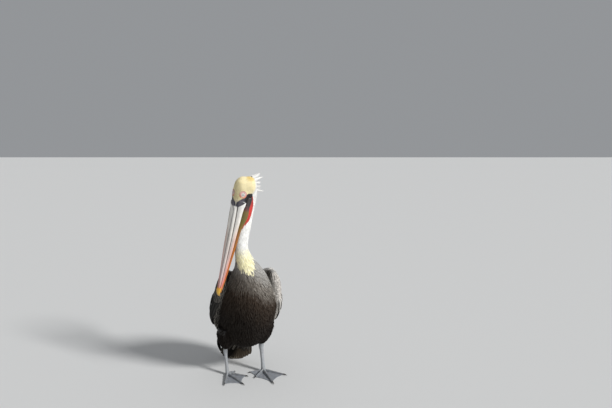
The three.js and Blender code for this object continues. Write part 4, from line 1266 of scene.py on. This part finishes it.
def wingCoat(side):
    # rows of plumes round the wing, lying towards its tip; none beyond shortEnd on its outer side
    alongs = np.arange(wingCoverts["first"], wingCoverts["last"], -wingCoverts["gapAlong"])
    rows = wingPlace(alongs)
    counts = np.maximum(10, (4.6 * through(wingStations, rows)[:, 3] / wingCoverts["gapAcross"]).astype(int))
    t, angle = staggered(rows, counts)
    angle = angle + rng.normal(0, 0.02, len(t))
    t = t + rng.normal(0, 0.03, len(t))
    roots = wingSurface(side, t, angle, wing["coat"])
    lies = unit(wingSurface(side, t + 0.08, angle, 0) - wingSurface(side, t, angle, 0))
    lies = lies + rng.normal(0, 0.05, lies.shape)
    reach = np.interp(t, [0, 3, 6], [17, 27, 30])
    size = rng.uniform(0.88, 1.12, len(t))
    half = reach * 0.165 * size
    depth = wing["coat"] * rng.uniform(0.75, 1.05, len(t))
    line, normal, _, keep = lyingPlumes(roots, lies, reach * size, depth, "round")
    # painted light: the left wing's pale outer face reaches further round its inner side than the right wing's
    outer = ease(np.sin(angle), -0.75 - 0.25 * (side > 0), -0.15 - 0.3 * (side > 0))
    front = ease(-np.cos(angle), 0.2, 0.95)
    reached = alongs[np.repeat(np.arange(len(rows)), counts)]
    keep = keep & ~((np.sin(angle) > 0.1) & (reached < wingCoverts["shortEnd"]))
    tint = mix(mix(paint(222, 219, 214), paint(206, 200, 193), front), paint(58, 52, 49), 1 - outer)
    tint = mix(tint, paint(70, 64, 59), ease(-reached, 20, 100))  # darker towards the tip
    # painted shade: the right wing's coverts are darkened towards its lower edge, as if in shadow
    tint = tint * mix(wing["shade"][side], 1.0, ease(np.cos(angle), 0.1, 1.0))[:, None]
    tint = tint * rng.uniform(0.82, 1.12, (len(t), 1))
    mark = marks(0.2 + 0.25 * rng.random(len(t)), 0.35 + 0.4 * rng.random(len(t)), len(t))
    place = np.stack([(angle / (4 * math.pi) % 0.5) + (0.5 if side > 0 else 0.0), t / 11], -1)
    return only(batch(line, normal, half, tint, mark, place, "round", thick=0.3, camber=0.22), keep)


def wingRow(side, row, number):
    # lines of even height over the wing's surface, from a root in the coat to a free tip
    f = np.linspace(0, 1, row["count"])
    s = shares("blade")[None, :]
    jitter = rng.normal(0, 1, (4, len(f)))
    rootAt = mix(*row["roots"], f) + 2.5 * jitter[0]
    tipAt = mix(*row["tips"], f) + 3.0 * jitter[1]
    rootAngle = (mix(*row["angles"], f) + 0.008 * jitter[2]) * math.pi
    tipAngle = (mix(*row["tipAngles"], f) + 0.012 * jitter[3]) * math.pi
    t = wingPlace(rootAt[:, None] + (tipAt - rootAt)[:, None] * s)
    angle = rootAngle[:, None] + (tipAngle - rootAngle)[:, None] * s
    normal = wingNormal(side, t, angle)
    upper = unit(wingSurface(side, t, angle - 0.03, 0) - wingSurface(side, t, angle + 0.03, 0))
    lift = -5.0 + (5.0 + row["lift"]) * ease(s, 0.0, 0.3) + 0.8 * jitter[2][:, None] * s
    line = wingSurface(side, t, angle, 0) + normal * lift[..., None]
    line[..., 2] = np.maximum(line[..., 2], 2.0)
    half = mix(*row["half"], f)
    # painted shade: the right wing's rows, shafts too, are darkened towards its lower edge, as if in shadow
    shade = mix(wing["shade"][side], 1.0, ease(f, 0.45, 1.05))
    tint = mix(row["tint"], row["far"], f) * shade[:, None] * rng.uniform(0.88, 1.1, (len(f), 1))
    mark = marks(row["shaft"] * shade, row["edge"], len(f))
    place = np.stack([0.04 + 0.92 * (number + 0.5 * (side > 0)) / 5 + 0.08 * f, 0.05 + 0.9 * f], -1)
    return batch(line, unit(normal + 0.16 * upper), half, tint, mark, place, "blade", "long", 0.5, 0.16)


def drapedRow(side, row, number):
    # long feathers laid from the back over the wing's upper edge: each line is pressed to the skin, evened
    # out so that it bridges hollows, and kept one coat's depth above the skin
    f = np.linspace(0, 1, row["count"])
    count = len(f)
    s = shares("blade")[None, :, None]
    starts = mix(*row["starts"], f) + rng.normal(0, 3, count)
    start = trunkPoint(starts, side * mix(*row["outs"], f), 100 + 0 * f)
    way = unit(-along + side * left * row["slant"] + rng.normal(0, 0.012, (count, 3)))
    length = mix(*row["lengths"], f) * rng.uniform(0.93, 1.07, count)
    line = start[:, None] + way[:, None] * length[:, None, None] * s
    spots, normals, _ = ontoSkin(line.reshape(-1, 3), 200.0)
    line, normal = spots.reshape(line.shape), normals.reshape(line.shape)
    lift = row["lift"] * (0.05 + 0.95 * ease(s, 0.0, 0.25))
    line = line + normal * lift
    for _ in range(8):
        line[:, 1:-1] = 0.5 * line[:, 1:-1] + 0.25 * (line[:, :-2] + line[:, 2:])
        normal[:, 1:-1] = unit(0.5 * normal[:, 1:-1] + 0.25 * (normal[:, :-2] + normal[:, 2:]))
        spots, normals, _ = ontoSkin(line.reshape(-1, 3), 200.0)
        height = np.einsum("ij,ij->i", line.reshape(-1, 3) - spots, normals).reshape(line.shape[:2])
        line = line + normal * np.maximum(0, lift[..., 0] * 0.85 - height)[..., None]
    outward = unit(side * left - normal * np.einsum("ijk,k->ij", normal, side * left)[..., None])
    half = mix(*row["half"], f)
    tint = np.tile(row["tint"], (count, 1)) * rng.uniform(0.85, 1.1, (count, 1))
    mark = marks(0.5, 0.75, count)
    place = np.stack([0.04 + 0.1 * number + 0.46 * (side > 0) + 0.3 * f, 0.05 + 0.9 * f], -1)
    return batch(line, unit(normal - 0.14 * outward), half, tint, mark, place, "blade", "long", 0.5, 0.16)


tailShape = {
    "root": (-72, -8, 126), "tip": (-136, -52, -4),
    "arch": 0.0016,  # its fall at the sides over the distance out squared
    "count": 18, "half": 10.5,
    "spread": 62.0,  # to each side at the tip
    "shortening": 0.30,  # of the outermost feathers
    "soft": 190,  # feathers over the tail's root
}


def tailFrame():  # the tail's root, the run to its tip, and the ways out of its top and across it
    root, tip = bodyPoint(*tailShape["root"]), bodyPoint(*tailShape["tip"])
    out = unit(np.cross(left, tip - root))
    return root, tip - root, out, unit(np.cross(tip - root, out))


def tailFeathers():
    # a fan: each feather runs straight from the root to its place on the rounded end, and falls with the arch
    root, run, overTail, across = tailFrame()
    f = np.linspace(-1, 1, tailShape["count"])
    f = np.concatenate([f, f[2:-2]])  # the second, shorter layer is the coverts'
    layer = np.concatenate([np.zeros(tailShape["count"]), np.ones(tailShape["count"] - 4)])
    count = len(f)
    s = shares("blade")[None, :]
    reach = (0.955 - tailShape["shortening"] * np.abs(f) ** 2.3) * (1 - 0.45 * layer)
    reach = reach + rng.normal(0, 0.006, count)
    endOut = f * tailShape["spread"] * (1 - 0.2 * layer)
    out = f[:, None] * 17 * (1 - s) + endOut[:, None] * s
    sink = 2.4 * (1 - np.abs(f))[:, None] * ease(s, 0, 0.3)
    over = -tailShape["arch"] * out ** 2 + sink + 2.6 * layer[:, None] - 3.5 * (1 - s)
    line = root + run * (s * reach[:, None])[..., None] + across * out[..., None] + overTail * over[..., None]
    line[..., 2] = np.maximum(line[..., 2], 1.2)
    normal = unit(overTail + across * (0.0032 * out - 0.10 * np.sign(f)[:, None])[..., None])
    half = np.full(count, tailShape["half"]) * (1 - 0.15 * layer)
    # painted shade: the fan's right half is near-black, as if in shadow, and its left half brown
    tint = mix(paint(78, 68, 56), paint(13, 11, 10), ease(-f, -0.3, 0.3)) * rng.uniform(0.9, 1.1, (count, 1))
    paleShaft = ease(f, -0.3, -0.1) * (1 - ease(f, 0.2, 0.5))
    mark = marks(0.15 + 0.75 * paleShaft, 0.3 + 0.4 * ease(f, -0.4, 0.1), count)
    place = np.stack([0.05 + 0.45 * (f + 1) / 2 + 0.5 * layer, 0.1 + 0.8 * rng.random(count)], -1)
    return batch(line, normal, half, tint, mark, place, "blade", "long", 0.6, 0.14)


def undertail():
    # soft feathers over the tail's root, above and below
    root, run, overTail, across = tailFrame()
    run, count = unit(run), tailShape["soft"]
    f = rng.uniform(-1, 1, count)
    flip = np.where(np.arange(count) % 2, 1.0, -1.0)
    start = rng.uniform(-18, 42, count)
    s = shares("round")[None, :]
    length = 44 * rng.uniform(0.8, 1.15, count)
    out = f[:, None] * (24 + 0.36 * (start[:, None] + length[:, None] * s))
    over = (flip * (8 - 0.05 * start))[:, None] - tailShape["arch"] * out ** 2
    over = over + flip[:, None] * (2.0 - 5.5 * s)
    line = (root + run * (start[:, None] + length[:, None] * s)[..., None] + across * out[..., None]
            + overTail * over[..., None])
    normal = np.broadcast_to((overTail * flip[:, None])[:, None], line.shape)
    half = 5.2 * rng.uniform(0.85, 1.15, count)
    tint = mix(paint(28, 23, 20), paint(92, 86, 80), (flip > 0) * 1.0) * rng.uniform(0.85, 1.15, (count, 1))
    mark = marks(0.3 * rng.random(count), 0.4, count)
    place = np.stack([0.1 + 0.8 * (f + 1) / 2, 0.1 + 0.7 * (start + 18) / 60], -1)
    return batch(line, normal, half, tint, mark, place, "round", thick=0.4, camber=0.2)


crestShape = {"tufts": 5, "plumes": 84, "length": 40.0, "lowest": 705.0, "highest": 748.0, "half": 1.9}


def crestPlumes():
    # tufts of narrow plumes that leave the nape side by side and run together at their tips
    tuft, plume = np.meshgrid(np.arange(crestShape["tufts"]), np.arange(crestShape["plumes"]), indexing="ij")
    tuft, plume = tuft.ravel(), plume.ravel()
    share = tuft / (crestShape["tufts"] - 1)
    count = len(tuft)
    side = unit(np.array([0.5, -0.82, 0.0]))
    height = crestShape["lowest"] + (crestShape["highest"] - crestShape["lowest"]) * share
    base = bodyPoint(66 - 4 * share, 17 + 0 * share, height)
    root = base + side * rng.normal(0, 4.0, (count, 1)) + up * rng.normal(0, 3.4, (count, 1))
    way = unit(np.stack([np.full(count, 0.82), np.full(count, 0.5), -0.15 + 0.57 * share], -1))
    reach = crestShape["length"] * (0.86 + 0.18 * np.cos(tuft * 2.1))
    reach = reach * (1.02 - 0.38 * rng.random(count) ** 1.6)
    short = 1 - reach / (1.05 * crestShape["length"])
    end = base + way * reach[:, None]
    end = end + rng.normal(0, 1.0, (count, 3)) * (0.6 + 3.6 * short)[:, None]
    s = shares("plume")[None, :, None]
    root = root - way * 5
    droop = up * (0.7 * rng.normal(0, 1, (count, 1, 1)) - 0.4) * (s ** 2 - s)
    line = root[:, None] * (1 - s) + end[:, None] * s + droop
    flat = unit(np.cross(way, side))[:, None]
    normal = unit(side + flat * rng.normal(0, 0.45, (count, 1, 1)) + 0 * line)
    half = crestShape["half"] * rng.uniform(0.7, 1.2, count)
    tint = np.tile(colours["white"], (count, 1)) * rng.uniform(0.9, 1.03, (count, 1))
    mark = marks(0.3 * rng.random(count), 0.0, count)
    place = np.stack([0.1 + 0.8 * plume / crestShape["plumes"], 0.1 + 0.8 * share], -1)
    return batch(line, normal, half, tint, mark, place, "plume", "small", 0.3, 0.25)


sides = (("right", -1), ("left", 1))
for sideName, side in sides:
    addPlumage(f"coat_wing_{sideName}", wingCoat(side), plumeMaterial)
for sideName, side in sides:
    flight = stack([wingRow(side, row, number) for number, row in enumerate(wingRows.values())])
    addPlumage(f"flight_feathers_{sideName}", flight, quillMaterial, (f"primaries_{sideName}",))
for sideName, side in sides:
    rows = [drapedRow(side, row, number) for number, row in enumerate(mantleRows.values())]
    addPlumage(f"back_feathers_{sideName}", stack(rows[::-1]), quillMaterial)
addPlumage("tail_feathers", tailFeathers(), quillMaterial, ("tail",))
addPlumage("coat_tail", undertail(), plumeMaterial)
addPlumage("crest_plumes", crestPlumes(), plumeMaterial, ("crest",))
print("wings, tail and crest ready")


# bill: a ridge between two dark grooves, a flat strip on each side, and the bars of the lower bill
billSizes = {
    # share of the length, half width, height, depth of the lower bill, how far its bars stand out,
    # half width of the pouch, depth of the pouch
    "stations": [
        (0, 28.5, 17, 19, 10, 40.5, 50), (0.1, 27, 13, 18, 12.5, 40, 47), (0.25, 24, 10, 12, 5.0, 33, 35),
        (0.45, 21, 8, 10, 3, 21, 22), (0.65, 16.5, 7, 8, 2, 15, 14), (0.82, 12.5, 6.5, 5.5, 1, 11, 9),
        (0.93, 9.2, 6.2, 4.4, 0.4, 7.8, 6.4), (1, 6, 6, 3.4, 0, 4, 4.4),
    ],
    # where the groove lies: share of the length, share across
    "groove": [(0, 0.24), (0.12, 0.3), (0.3, 0.34), (0.5, 0.36), (0.8, 0.4), (1, 0.46)],
    "nail": 0.93,
    "gap": 0.4,
    "slim": 0.07,  # how much narrower the upper bill is than the bars under it
    "tongue": 20.0,  # how far the side strips run up over the cheeks
    # where bare horn begins: share across, distance along
    "stripStart": [(0, -1), (0.12, 0), (0.24, 5), (0.36, 2), (0.7, -8), (0.88, -14), (1, -16)],
    "sunk": (3.0, 6.0),  # how deep the upper edge runs in under the skin, and over what distance
    # along from the nail's root, drop, half width, height, how far it is bent
    "nailStations": [(-3, 0, 8.2, 5.4, 0), (0, 0, 9.3, 6.1, 0), (5, 0, 9.2, 6.4, 2), (9, 0, 8.2, 6.2, 4),
                     (17, 1.5, 6.4, 5.8, 28), (23, 6, 4.7, 4.7, 62), (25.4, 10.5, 2.9, 2.9, 82),
                     (25.8, 13, 1.2, 1.2, 88)],
    "barRight": 0.35,  # how far the right bar stands out, as a share of the left one
    "barEnds": (-0.115, 0.972),  # as shares of the length
}


def billAt(share):  # sizes at a share of the bill's length
    stations = np.array(billSizes["stations"])
    return through(stations, np.interp(share, stations[:, 0], np.arange(len(stations))))[..., 1:]


def upperBill():
    # each section: side strip, groove, ridge and back again; near the base it grows into the head's oval
    rows, half = 170, 34
    u = np.linspace(0, 1, half)  # 0 at the edge, 1 on the ridge
    r = np.linspace(0, 1, rows)[:, None]
    start = 3.0 - (3.0 + billSizes["tongue"]) * ease(1 - u, 0.15, 0.35)
    far = billSizes["nail"] * billLength + 1.0
    a = start + (far - start) * r ** 1.15
    edge = np.interp(1 - u, *np.array(billSizes["stripStart"]).T)
    bare = 1 - ease(a, edge - 0.8, edge + 1.6)  # skin of the face, above the strip's slant
    share = np.clip(a / billLength, 0, 1)
    size = billAt(share)
    groove = np.interp(share, *np.array(billSizes["groove"]).T)
    x = 1 - u + 0 * share  # 1 at the edge, 0 on the ridge
    inner = np.clip(x / groove, 0, 1)
    outer = np.clip((x - groove) / (1 - groove), 0, 1)
    ridgeHigh = 1 - 0.42 * inner ** 2.2
    stripHigh = 0.60 - 0.10 * outer - 0.46 * np.clip(outer, 0, 1) ** 3.5
    high = np.where(x < groove, ridgeHigh, stripHigh)
    dip = np.exp(-((x - groove) / (0.055 + 0.02 * share)) ** 2)
    high = high - dip * (0.24 - 0.06 * share)
    high = high + 0.012 * np.sin(a * 0.9 + 9 * x) * (1 - dip) * ease(share, 0.05, 0.2)
    slim = 1 - billSizes["slim"] * ease(share, 0.0, 0.06) * (1 - ease(share, 0.5, 0.9))
    wide, tall = x * size[..., 0] * slim, high * size[..., 1]
    behind = np.maximum(-a, -8)
    oval = through(head["stations"], np.interp(behind, [s[0] for s in head["stations"]],
                                               np.arange(len(head["stations"]))))
    theta = u * math.pi / 2
    headWide = (oval[..., 1] + 0.5) * np.cos(theta) * (1 - oval[..., 4] * np.sin(theta))
    headTall = (oval[..., 2] + 0.5) * np.sin(theta)
    onHead = 1 - ease(a, -4, 22)
    wide, tall = mix(wide, headWide, onHead), mix(tall, headTall, onHead)
    sunk = billSizes["sunk"][0] * (1 - ease(a - start, 0, billSizes["sunk"][1]))
    wide, tall = wide * (1 - 0.025 * bare) - sunk * x, tall - 0.7 * bare - sunk * (1 - x)
    leftHalf, rightHalf = (headPoint(a, sign * wide, tall + 0.3) for sign in (1, -1))
    under = [headPoint(a[:, 0], w * wide[:, 0], np.full(rows, 0.25)) for w in (-0.9, -0.5, 0.0, 0.5, 0.9)]
    grid = np.concatenate([leftHalf, rightHalf[:, ::-1][:, 1:], np.stack(under, 1)], 1)
    full = lambda v: np.concatenate([v, v[:, ::-1][:, 1:], np.repeat(v[:, :1], 5, 1)], 1)
    return grid, full(share + 0 * x), full(x), full(dip), full(bare)


def upperTint(share, x, dip, bare):
    # pale at the base, redder towards the tip, dark in the grooves, slate where bare
    pale = paint(250, 248, 242)
    edge = ramp(share, [(0, pale), (0.2, paint(248, 240, 230)), (0.36, paint(242, 206, 192)),
                        (0.55, paint(238, 188, 174)), (0.72, paint(236, 160, 140)),
                        (0.85, paint(232, 128, 118)), (0.93, paint(226, 120, 84))])
    middle = ramp(share, [(0, pale), (0.3, paint(244, 239, 230)), (0.6, paint(234, 220, 214)),
                          (0.78, paint(228, 206, 204)), (0.88, paint(228, 176, 170)),
                          (0.93, paint(228, 140, 96))])
    tint = mix(middle, edge, ease(x, 0.45, 0.95))
    dark = ramp(share, [(0, paint(34, 30, 30)), (0.3, paint(84, 58, 50)), (0.7, paint(140, 78, 58)),
                        (0.93, paint(170, 96, 50))])
    tint = mix(tint, dark, np.clip(dip * 1.15, 0, 1) * (1 - 0.35 * share))
    lores = mix(colours["slate"], colours["gape"], ease(x, 0.45, 0.8) * 0.8)
    return mix(tint, lores, bare)


def billNail():
    # an oval tube that bends down over the tip of the lower bill
    start = billSizes["nail"] * billLength + billSizes["gap"] - 1.5
    t, angle = rings(60, 40, 0, len(billSizes["nailStations"]) - 1)
    s = through(billSizes["nailStations"], t)
    bend = np.radians(s[..., 4:])
    across = crown * np.cos(bend) + facing * np.sin(bend)
    centre = headPoint(start + s[..., 0], 0 * t, s[..., 3] * 0.5 + billSizes["gap"] - s[..., 1])
    crease = (1 - 0.10 * np.exp(-((t - 1.3) / 0.35) ** 2)
              + 0.05 * np.cos(angle - math.pi / 2) ** 8 * (np.sin(angle) > 0))
    grid = (centre + (s[..., 2] * crease * np.cos(angle))[..., None] * cheek
            + (s[..., 3] * 0.5 * crease * np.sin(angle))[..., None] * across)
    return grid, t


def closedCurve(corners, count):  # smooth closed ring through corner points, the same for every row
    n = corners.shape[-2]
    u = np.arange(count) / count * n
    i = u.astype(int)
    return bridge(*(corners[..., (i + k) % n, :] for k in (-1, 0, 1, 2)), (u - i)[:, None])


def lowerBill():
    # corners of the left bar, then those of the right, closed into a ring at each place
    rows, columns = 120, 56
    share = np.linspace(*billSizes["barEnds"], rows)
    size = billAt(np.maximum(0, share))
    wide, jaw, flare = size[:, 0], size[:, 2], size[:, 3]
    dip = np.where(share < 0, 6 * share / billSizes["barEnds"][0], 0)
    gap = billSizes["gap"]
    bar = lambda out: [(0 * wide, -gap + 0 * jaw), (0.55 * wide, -gap + 0 * jaw), (wide, -gap - 0.05 * jaw),
                       (wide + out * 0.62, -jaw * 0.28), (wide + out, -jaw * 0.66),
                       (wide + out * 0.8, -jaw * 0.94), (wide - 1, -jaw), (wide - 4, -jaw * 0.92)]
    both = bar(flare) + [(-w, h) for w, h in bar(billSizes["barRight"] * flare)[:0:-1]]
    outlineWide, outlineHigh = (np.stack([p[k] for p in both], -1) for k in (0, 1))
    corners = np.stack([outlineWide, outlineHigh - dip[:, None]], -1)
    ring = closedCurve(corners, columns)
    grid = headPoint(share[:, None] * billLength + 0 * ring[..., 0], ring[..., 0], ring[..., 1])
    return grid, np.broadcast_to(share[:, None], ring.shape[:2]), ring[..., 1] / -jaw[:, None]


def lowerTint(share, low):
    # colours along the bars, rosy at the lower edge near the gape, darker on top with painted shade under the
    # upper bill
    bars = ramp(share, [(-0.03, paint(30, 25, 25)), (0.02, paint(96, 52, 48)), (0.05, paint(116, 94, 32)),
                        (0.16, paint(108, 100, 6)), (0.3, paint(146, 90, 10)), (0.55, paint(184, 104, 26)),
                        (0.8, paint(208, 110, 42)), (0.97, paint(206, 140, 64))])
    nearGape = ease(share, -0.02, 0.03) * (1 - ease(share, 0.14, 0.24))
    lips = mix(bars, paint(190, 112, 96), 0.8 * ease(low, 0.72, 0.95) * nearGape)
    # painted shade: the top of the bars, under the upper bill's edge, is darker
    return mix(lips * 0.85, lips, ease(low, 0.1, 0.45))


pouchShape = {"first": -0.15, "last": 0.93, "ripples": 26, "depth": 0.5}


def pouchSkin():
    # from the right lip round the keel to the left lip, with fine ripples along the bag
    rows, columns = 150, 84
    share = np.linspace(pouchShape["first"], pouchShape["last"], rows)[:, None]
    side = np.linspace(-1, 1, columns)[None, :]
    size = billAt(np.maximum(0, share[:, 0]))
    wide, jaw, bag, deep = (size[:, k][:, None] for k in (0, 2, 4, 5))
    rise = np.where(share < 0, share / pouchShape["first"], 0)
    top = jaw + billSizes["gap"] + 12 * rise - 1.2
    keel = np.maximum(top + 3, deep * (1 - 0.35 * rise ** 1.5))
    lip = (wide - 1.5) * (1 - 0.3 * rise ** 2)
    bag = bag * (1 - 0.25 * rise ** 2)
    bulge = (bag - lip) * np.sin(math.pi * (1 - np.abs(side)) ** 0.7)
    across = np.sign(side) * (lip * np.abs(np.sin(side * math.pi / 2)) ** 0.7 + bulge)
    low = -(top + (keel - top) * np.cos(side * math.pi / 2) ** 0.8)
    ripple = pouchShape["depth"] * np.sin(side * pouchShape["ripples"] * math.pi + 1.5 * np.sin(share * 9))
    grid = headPoint(share * billLength + 0 * side, across + ripple * np.sign(side), low + 0.6 * ripple)
    return grid, share + 0 * side, np.abs(side) + 0 * share


def pouchTint(share, side):
    # red at the gape and brown towards the tip, darker along the keel
    red = ramp(share, [(-0.13, paint(190, 48, 40)), (0.0, paint(214, 56, 48)), (0.12, paint(206, 58, 46)),
                       (0.24, paint(180, 60, 40)), (0.36, paint(120, 60, 38)), (0.6, paint(96, 66, 44)),
                       (0.93, paint(130, 88, 50))])
    return mix(red * 0.6, red, ease(side, 0.15, 0.75))


def addTube(name, grid, tint, material, node):  # a closed tube with a colour for each of its points
    mesh = meshFrom(name, closedTube(grid))
    tint = tint.reshape(-1, 3)
    addAttribute(mesh, "skinTint", np.concatenate([tint, tint[:1], tint[-1:]]))
    addPiece(name, mesh, material, (node,))


def addBill():
    grid, share, x, dip, bare = upperBill()
    streak = wobble(np.stack([share * 30, x * 60, 0 * x], -1).reshape(-1, 3), 9.0, 31)
    tint = upperTint(share, x, dip, bare).reshape(-1, 3) * (1 + 0.07 * streak[:, None])
    addTube("upper_bill", grid, tint, hornMaterial, "bill_upper")
    grid, t = billNail()
    tint = ramp(t, [(0, paint(230, 150, 56)), (1.2, paint(240, 172, 48)), (3.5, paint(242, 190, 62)),
                    (5.5, paint(214, 160, 70)), (7, paint(150, 110, 60))])
    addTube("nail", grid, tint, hornMaterial, "bill_nail")
    grid, share, low = lowerBill()
    addTube("lower_bill", grid, lowerTint(share, low), hornMaterial, "bill_lower")
    grid, share, side = pouchSkin()
    addTube("pouch_skin", grid, pouchTint(share, side), pouchMaterial, "pouch")


def eyeMaterial():
    # iris and pupil are rings round the eye's own axis, read from its own attribute
    material, tree, shader = newMaterial("eye", 0.08, Coat_Weight=1.0, Coat_Roughness=0.03)
    split = addNode(tree, "ShaderNodeSeparateXYZ")
    wire(tree, attribute(tree, "ring"), split.inputs[0])
    radius, turnRound = split.outputs[0], split.outputs[1]
    noise = addNode(tree, "ShaderNodeTexNoise")
    noise.inputs["Scale"].default_value = 9.0
    wire(tree, attribute(tree, "ring"), noise.inputs["Vector"])
    spokes = calc(tree, "SINE", times(tree, turnRound, 70.0))
    grain = plus(tree, times(tree, spokes, 0.12), noise.outputs[0], True)
    iris = tintMix(tree, grain, (*paint(196, 200, 196), 1), (*paint(236, 238, 230), 1))
    iris = tintMix(tree, fade(tree, radius, 0.56, 0.64), iris, (*paint(96, 84, 78), 1))
    pupil = fade(tree, radius, 0.15, 0.175)
    wire(tree, tintMix(tree, pupil, (*paint(8, 8, 9), 1), iris), shader.inputs["Base Color"])
    return material


def eyeFrame(side):  # the eye's middle in the skin, its axis, and two ways across it
    axis = eyeAxis[side]
    across = unit(np.cross(axis, facing))
    return eyeCentre(side), axis, across, np.cross(across, axis)


def addEyes():
    # a ball with a slight bulge in front; its points carry their place from pupil to back
    material = eyeMaterial()
    for name, side in sides:
        middle, axis, across, rise = eyeFrame(side)
        v, a = rings(60, 64, 0.03, math.pi - 0.03)
        bulge = face["ballRadius"] * (1 + 0.04 * np.exp(-(v / 0.36) ** 2))
        ringOut = (bulge * np.sin(v))[..., None]
        middle = middle - axis * (face["ballRadius"] - face["proud"])
        grid = (middle + ringOut * (np.cos(a)[..., None] * across + np.sin(a)[..., None] * rise)
                + (bulge * np.cos(v))[..., None] * axis)
        mesh = meshFrom("eye", closedTube(grid))
        outermost = 2.2  # the ring's number at the back of the ball, where the front is 0
        ring = np.stack([(v / math.pi).ravel() * outermost, a.ravel(), np.zeros(a.size)], -1)
        addAttribute(mesh, "ring", np.concatenate([ring, [[0, 0, 0], [outermost, 0, 0]]]))
        addPiece(f"eye_{name}_ball", mesh, material, (f"eye_{name}",))


# a lid's section: how far out of the opening's edge, and over the skin
lidSection = [(3.6, -1.1), (2.7, 0.3), (1.7, 0.95), (0.7, 0.95), (-0.1, 0.5), (-0.35, -0.1), (-0.1, -1.0),
              (1.2, -2.4), (2.9, -2.2)]


def addLids():
    # each lid is a thick ring that lies on the ball, with a rounded edge and fine beads
    count, around = 120, 36
    ring = closedCurve(np.array(lidSection) + np.array([face["openRadius"], 0]), around)
    a = circle(count)[:, None]
    crease = 0.05 * np.sin(a * 22) + 0.08 * np.sin(a * 7 + 1)
    high = ring[:, 1] + crease * (ring[:, 1] > 0.2)
    out = ring[:, 0] * (1 - 0.06 * np.cos(a) ** 2)
    quads = gridQuads(count + 1, around, True) % (count * around)
    for name, side in sides:
        middle, axis, across, rise = eyeFrame(side)
        points = (middle + (out * np.cos(a))[..., None] * across + (out * np.sin(a))[..., None] * rise
                  + high[..., None] * axis).reshape(-1, 3)
        mesh = meshFrom("lid", (points, quads, noTriangles))
        tint = mix(paint(222, 178, 168), paint(228, 196, 190), 0.5 + 0.5 * wobble(points, 3.0, 44))
        addAttribute(mesh, "skinTint", tint)
        addPiece(f"eyelid_{name}", mesh, faceMaterial)


def addClaws():
    # a curved cone from inside the end of each toe down to the floor
    rows, columns = 26, 20
    for name in ("right", "left"):
        base = np.array([*legs[name]["toeBase"], 7.0])
        for index, tip in enumerate(legs[name]["tips"]):
            end = np.array([*tip, 2.6])
            run = end - base
            width = legs["toeHalf"][index]
            start = base + run * (legs["clawShare"] - 0.035)
            path = [start + (end - start) * share + up * raised
                    for share, raised in ((0, 0.4), (0.42, 1.3), (0.76, 0.7), (1, -1.3))]
            sizes = [(width * 0.5, 2.4), (width * 0.44, 2.2), (width * 0.28, 1.5), (0.35, 0.35)]
            grid = limbRings(path, sizes, rows, columns)
            grid[..., 2] = np.maximum(grid[..., 2], 0.05)
            tint = mix(paint(70, 66, 62), paint(28, 26, 25), np.repeat(np.linspace(0, 1, rows), columns))
            node = f"claw_{name}_{index + 1}"
            addTube(f"{node}_horn", grid, tint, clawMaterial, node)


addBill()
addEyes()
addLids()
addClaws()
print("bill, eyes and claws ready")


# the studio: a plain floor, a large soft key light, a faint fill, and the camera
view = {
    "camera": (226.0, -1800.0, 855.0),
    "pitch": 6.504,  # degrees below the horizon
    "lens": 29.41,
    "key": ((2.1, -1.2, 1.55), 12.0, 3.05),  # the way to it, how wide it looks in degrees, strength
    "fill": ((0.5, -1.9, 0.5), 40.0, 0.18),
    "world": 0.34,
    "sky": (0.86, 0.89, 0.93),
    "floor": 40.0,  # half its side, in metres
    "floorTint": (0.72, 0.72, 0.71),
    "farthest": 60.0,  # how far the camera sees, in metres
    "sensor": 36.0,  # width in millimetres
}


def addLight(name, way, angle, strength):  # a distant, wide, soft light that is even over the whole floor
    light = bpy.data.lights.new(name, "SUN")
    light.angle = math.radians(angle)
    light.energy = strength
    lamp = bpy.data.objects.new(name, light)
    lamp.location = np.array(way)
    lamp.rotation_euler = Vector(-np.array(way)).to_track_quat("-Z", "Y").to_euler()
    bpy.context.scene.collection.objects.link(lamp)


def makeStudio():
    for name in ("key", "fill"):
        addLight(name, *view[name])
    world = bpy.data.worlds.new("studio")
    world.use_nodes = True
    sky = world.node_tree.nodes["Background"]
    sky.inputs[0].default_value = (*view["sky"], 1)
    sky.inputs[1].default_value = view["world"]
    bpy.context.scene.world = world
    bpy.context.scene.view_settings.view_transform = "Standard"
    material, _, shader = newMaterial("floor", 0.8)
    shader.inputs["Base Color"].default_value = (*view["floorTint"], 1)
    reach = view["floor"]
    mesh = bpy.data.meshes.new("floor")
    mesh.from_pydata([(-reach, -reach, 0), (reach, -reach, 0), (reach, reach, 0), (-reach, reach, 0)], [],
                     [(0, 1, 2, 3)])
    mesh.materials.append(material)
    floor = bpy.data.objects.new("floor", mesh)
    bpy.context.scene.collection.objects.link(floor)
    camera = bpy.data.cameras.new("camera")
    camera.lens = view["lens"]
    camera.sensor_width = view["sensor"]
    camera.clip_end = view["farthest"]
    stand = bpy.data.objects.new("camera", camera)
    stand.location = np.array(view["camera"]) * mm + origin
    stand.rotation_euler = (math.radians(90 - view["pitch"]), 0, 0)
    bpy.context.scene.collection.objects.link(stand)
    bpy.context.scene.camera = stand


makeStudio()
print("done")
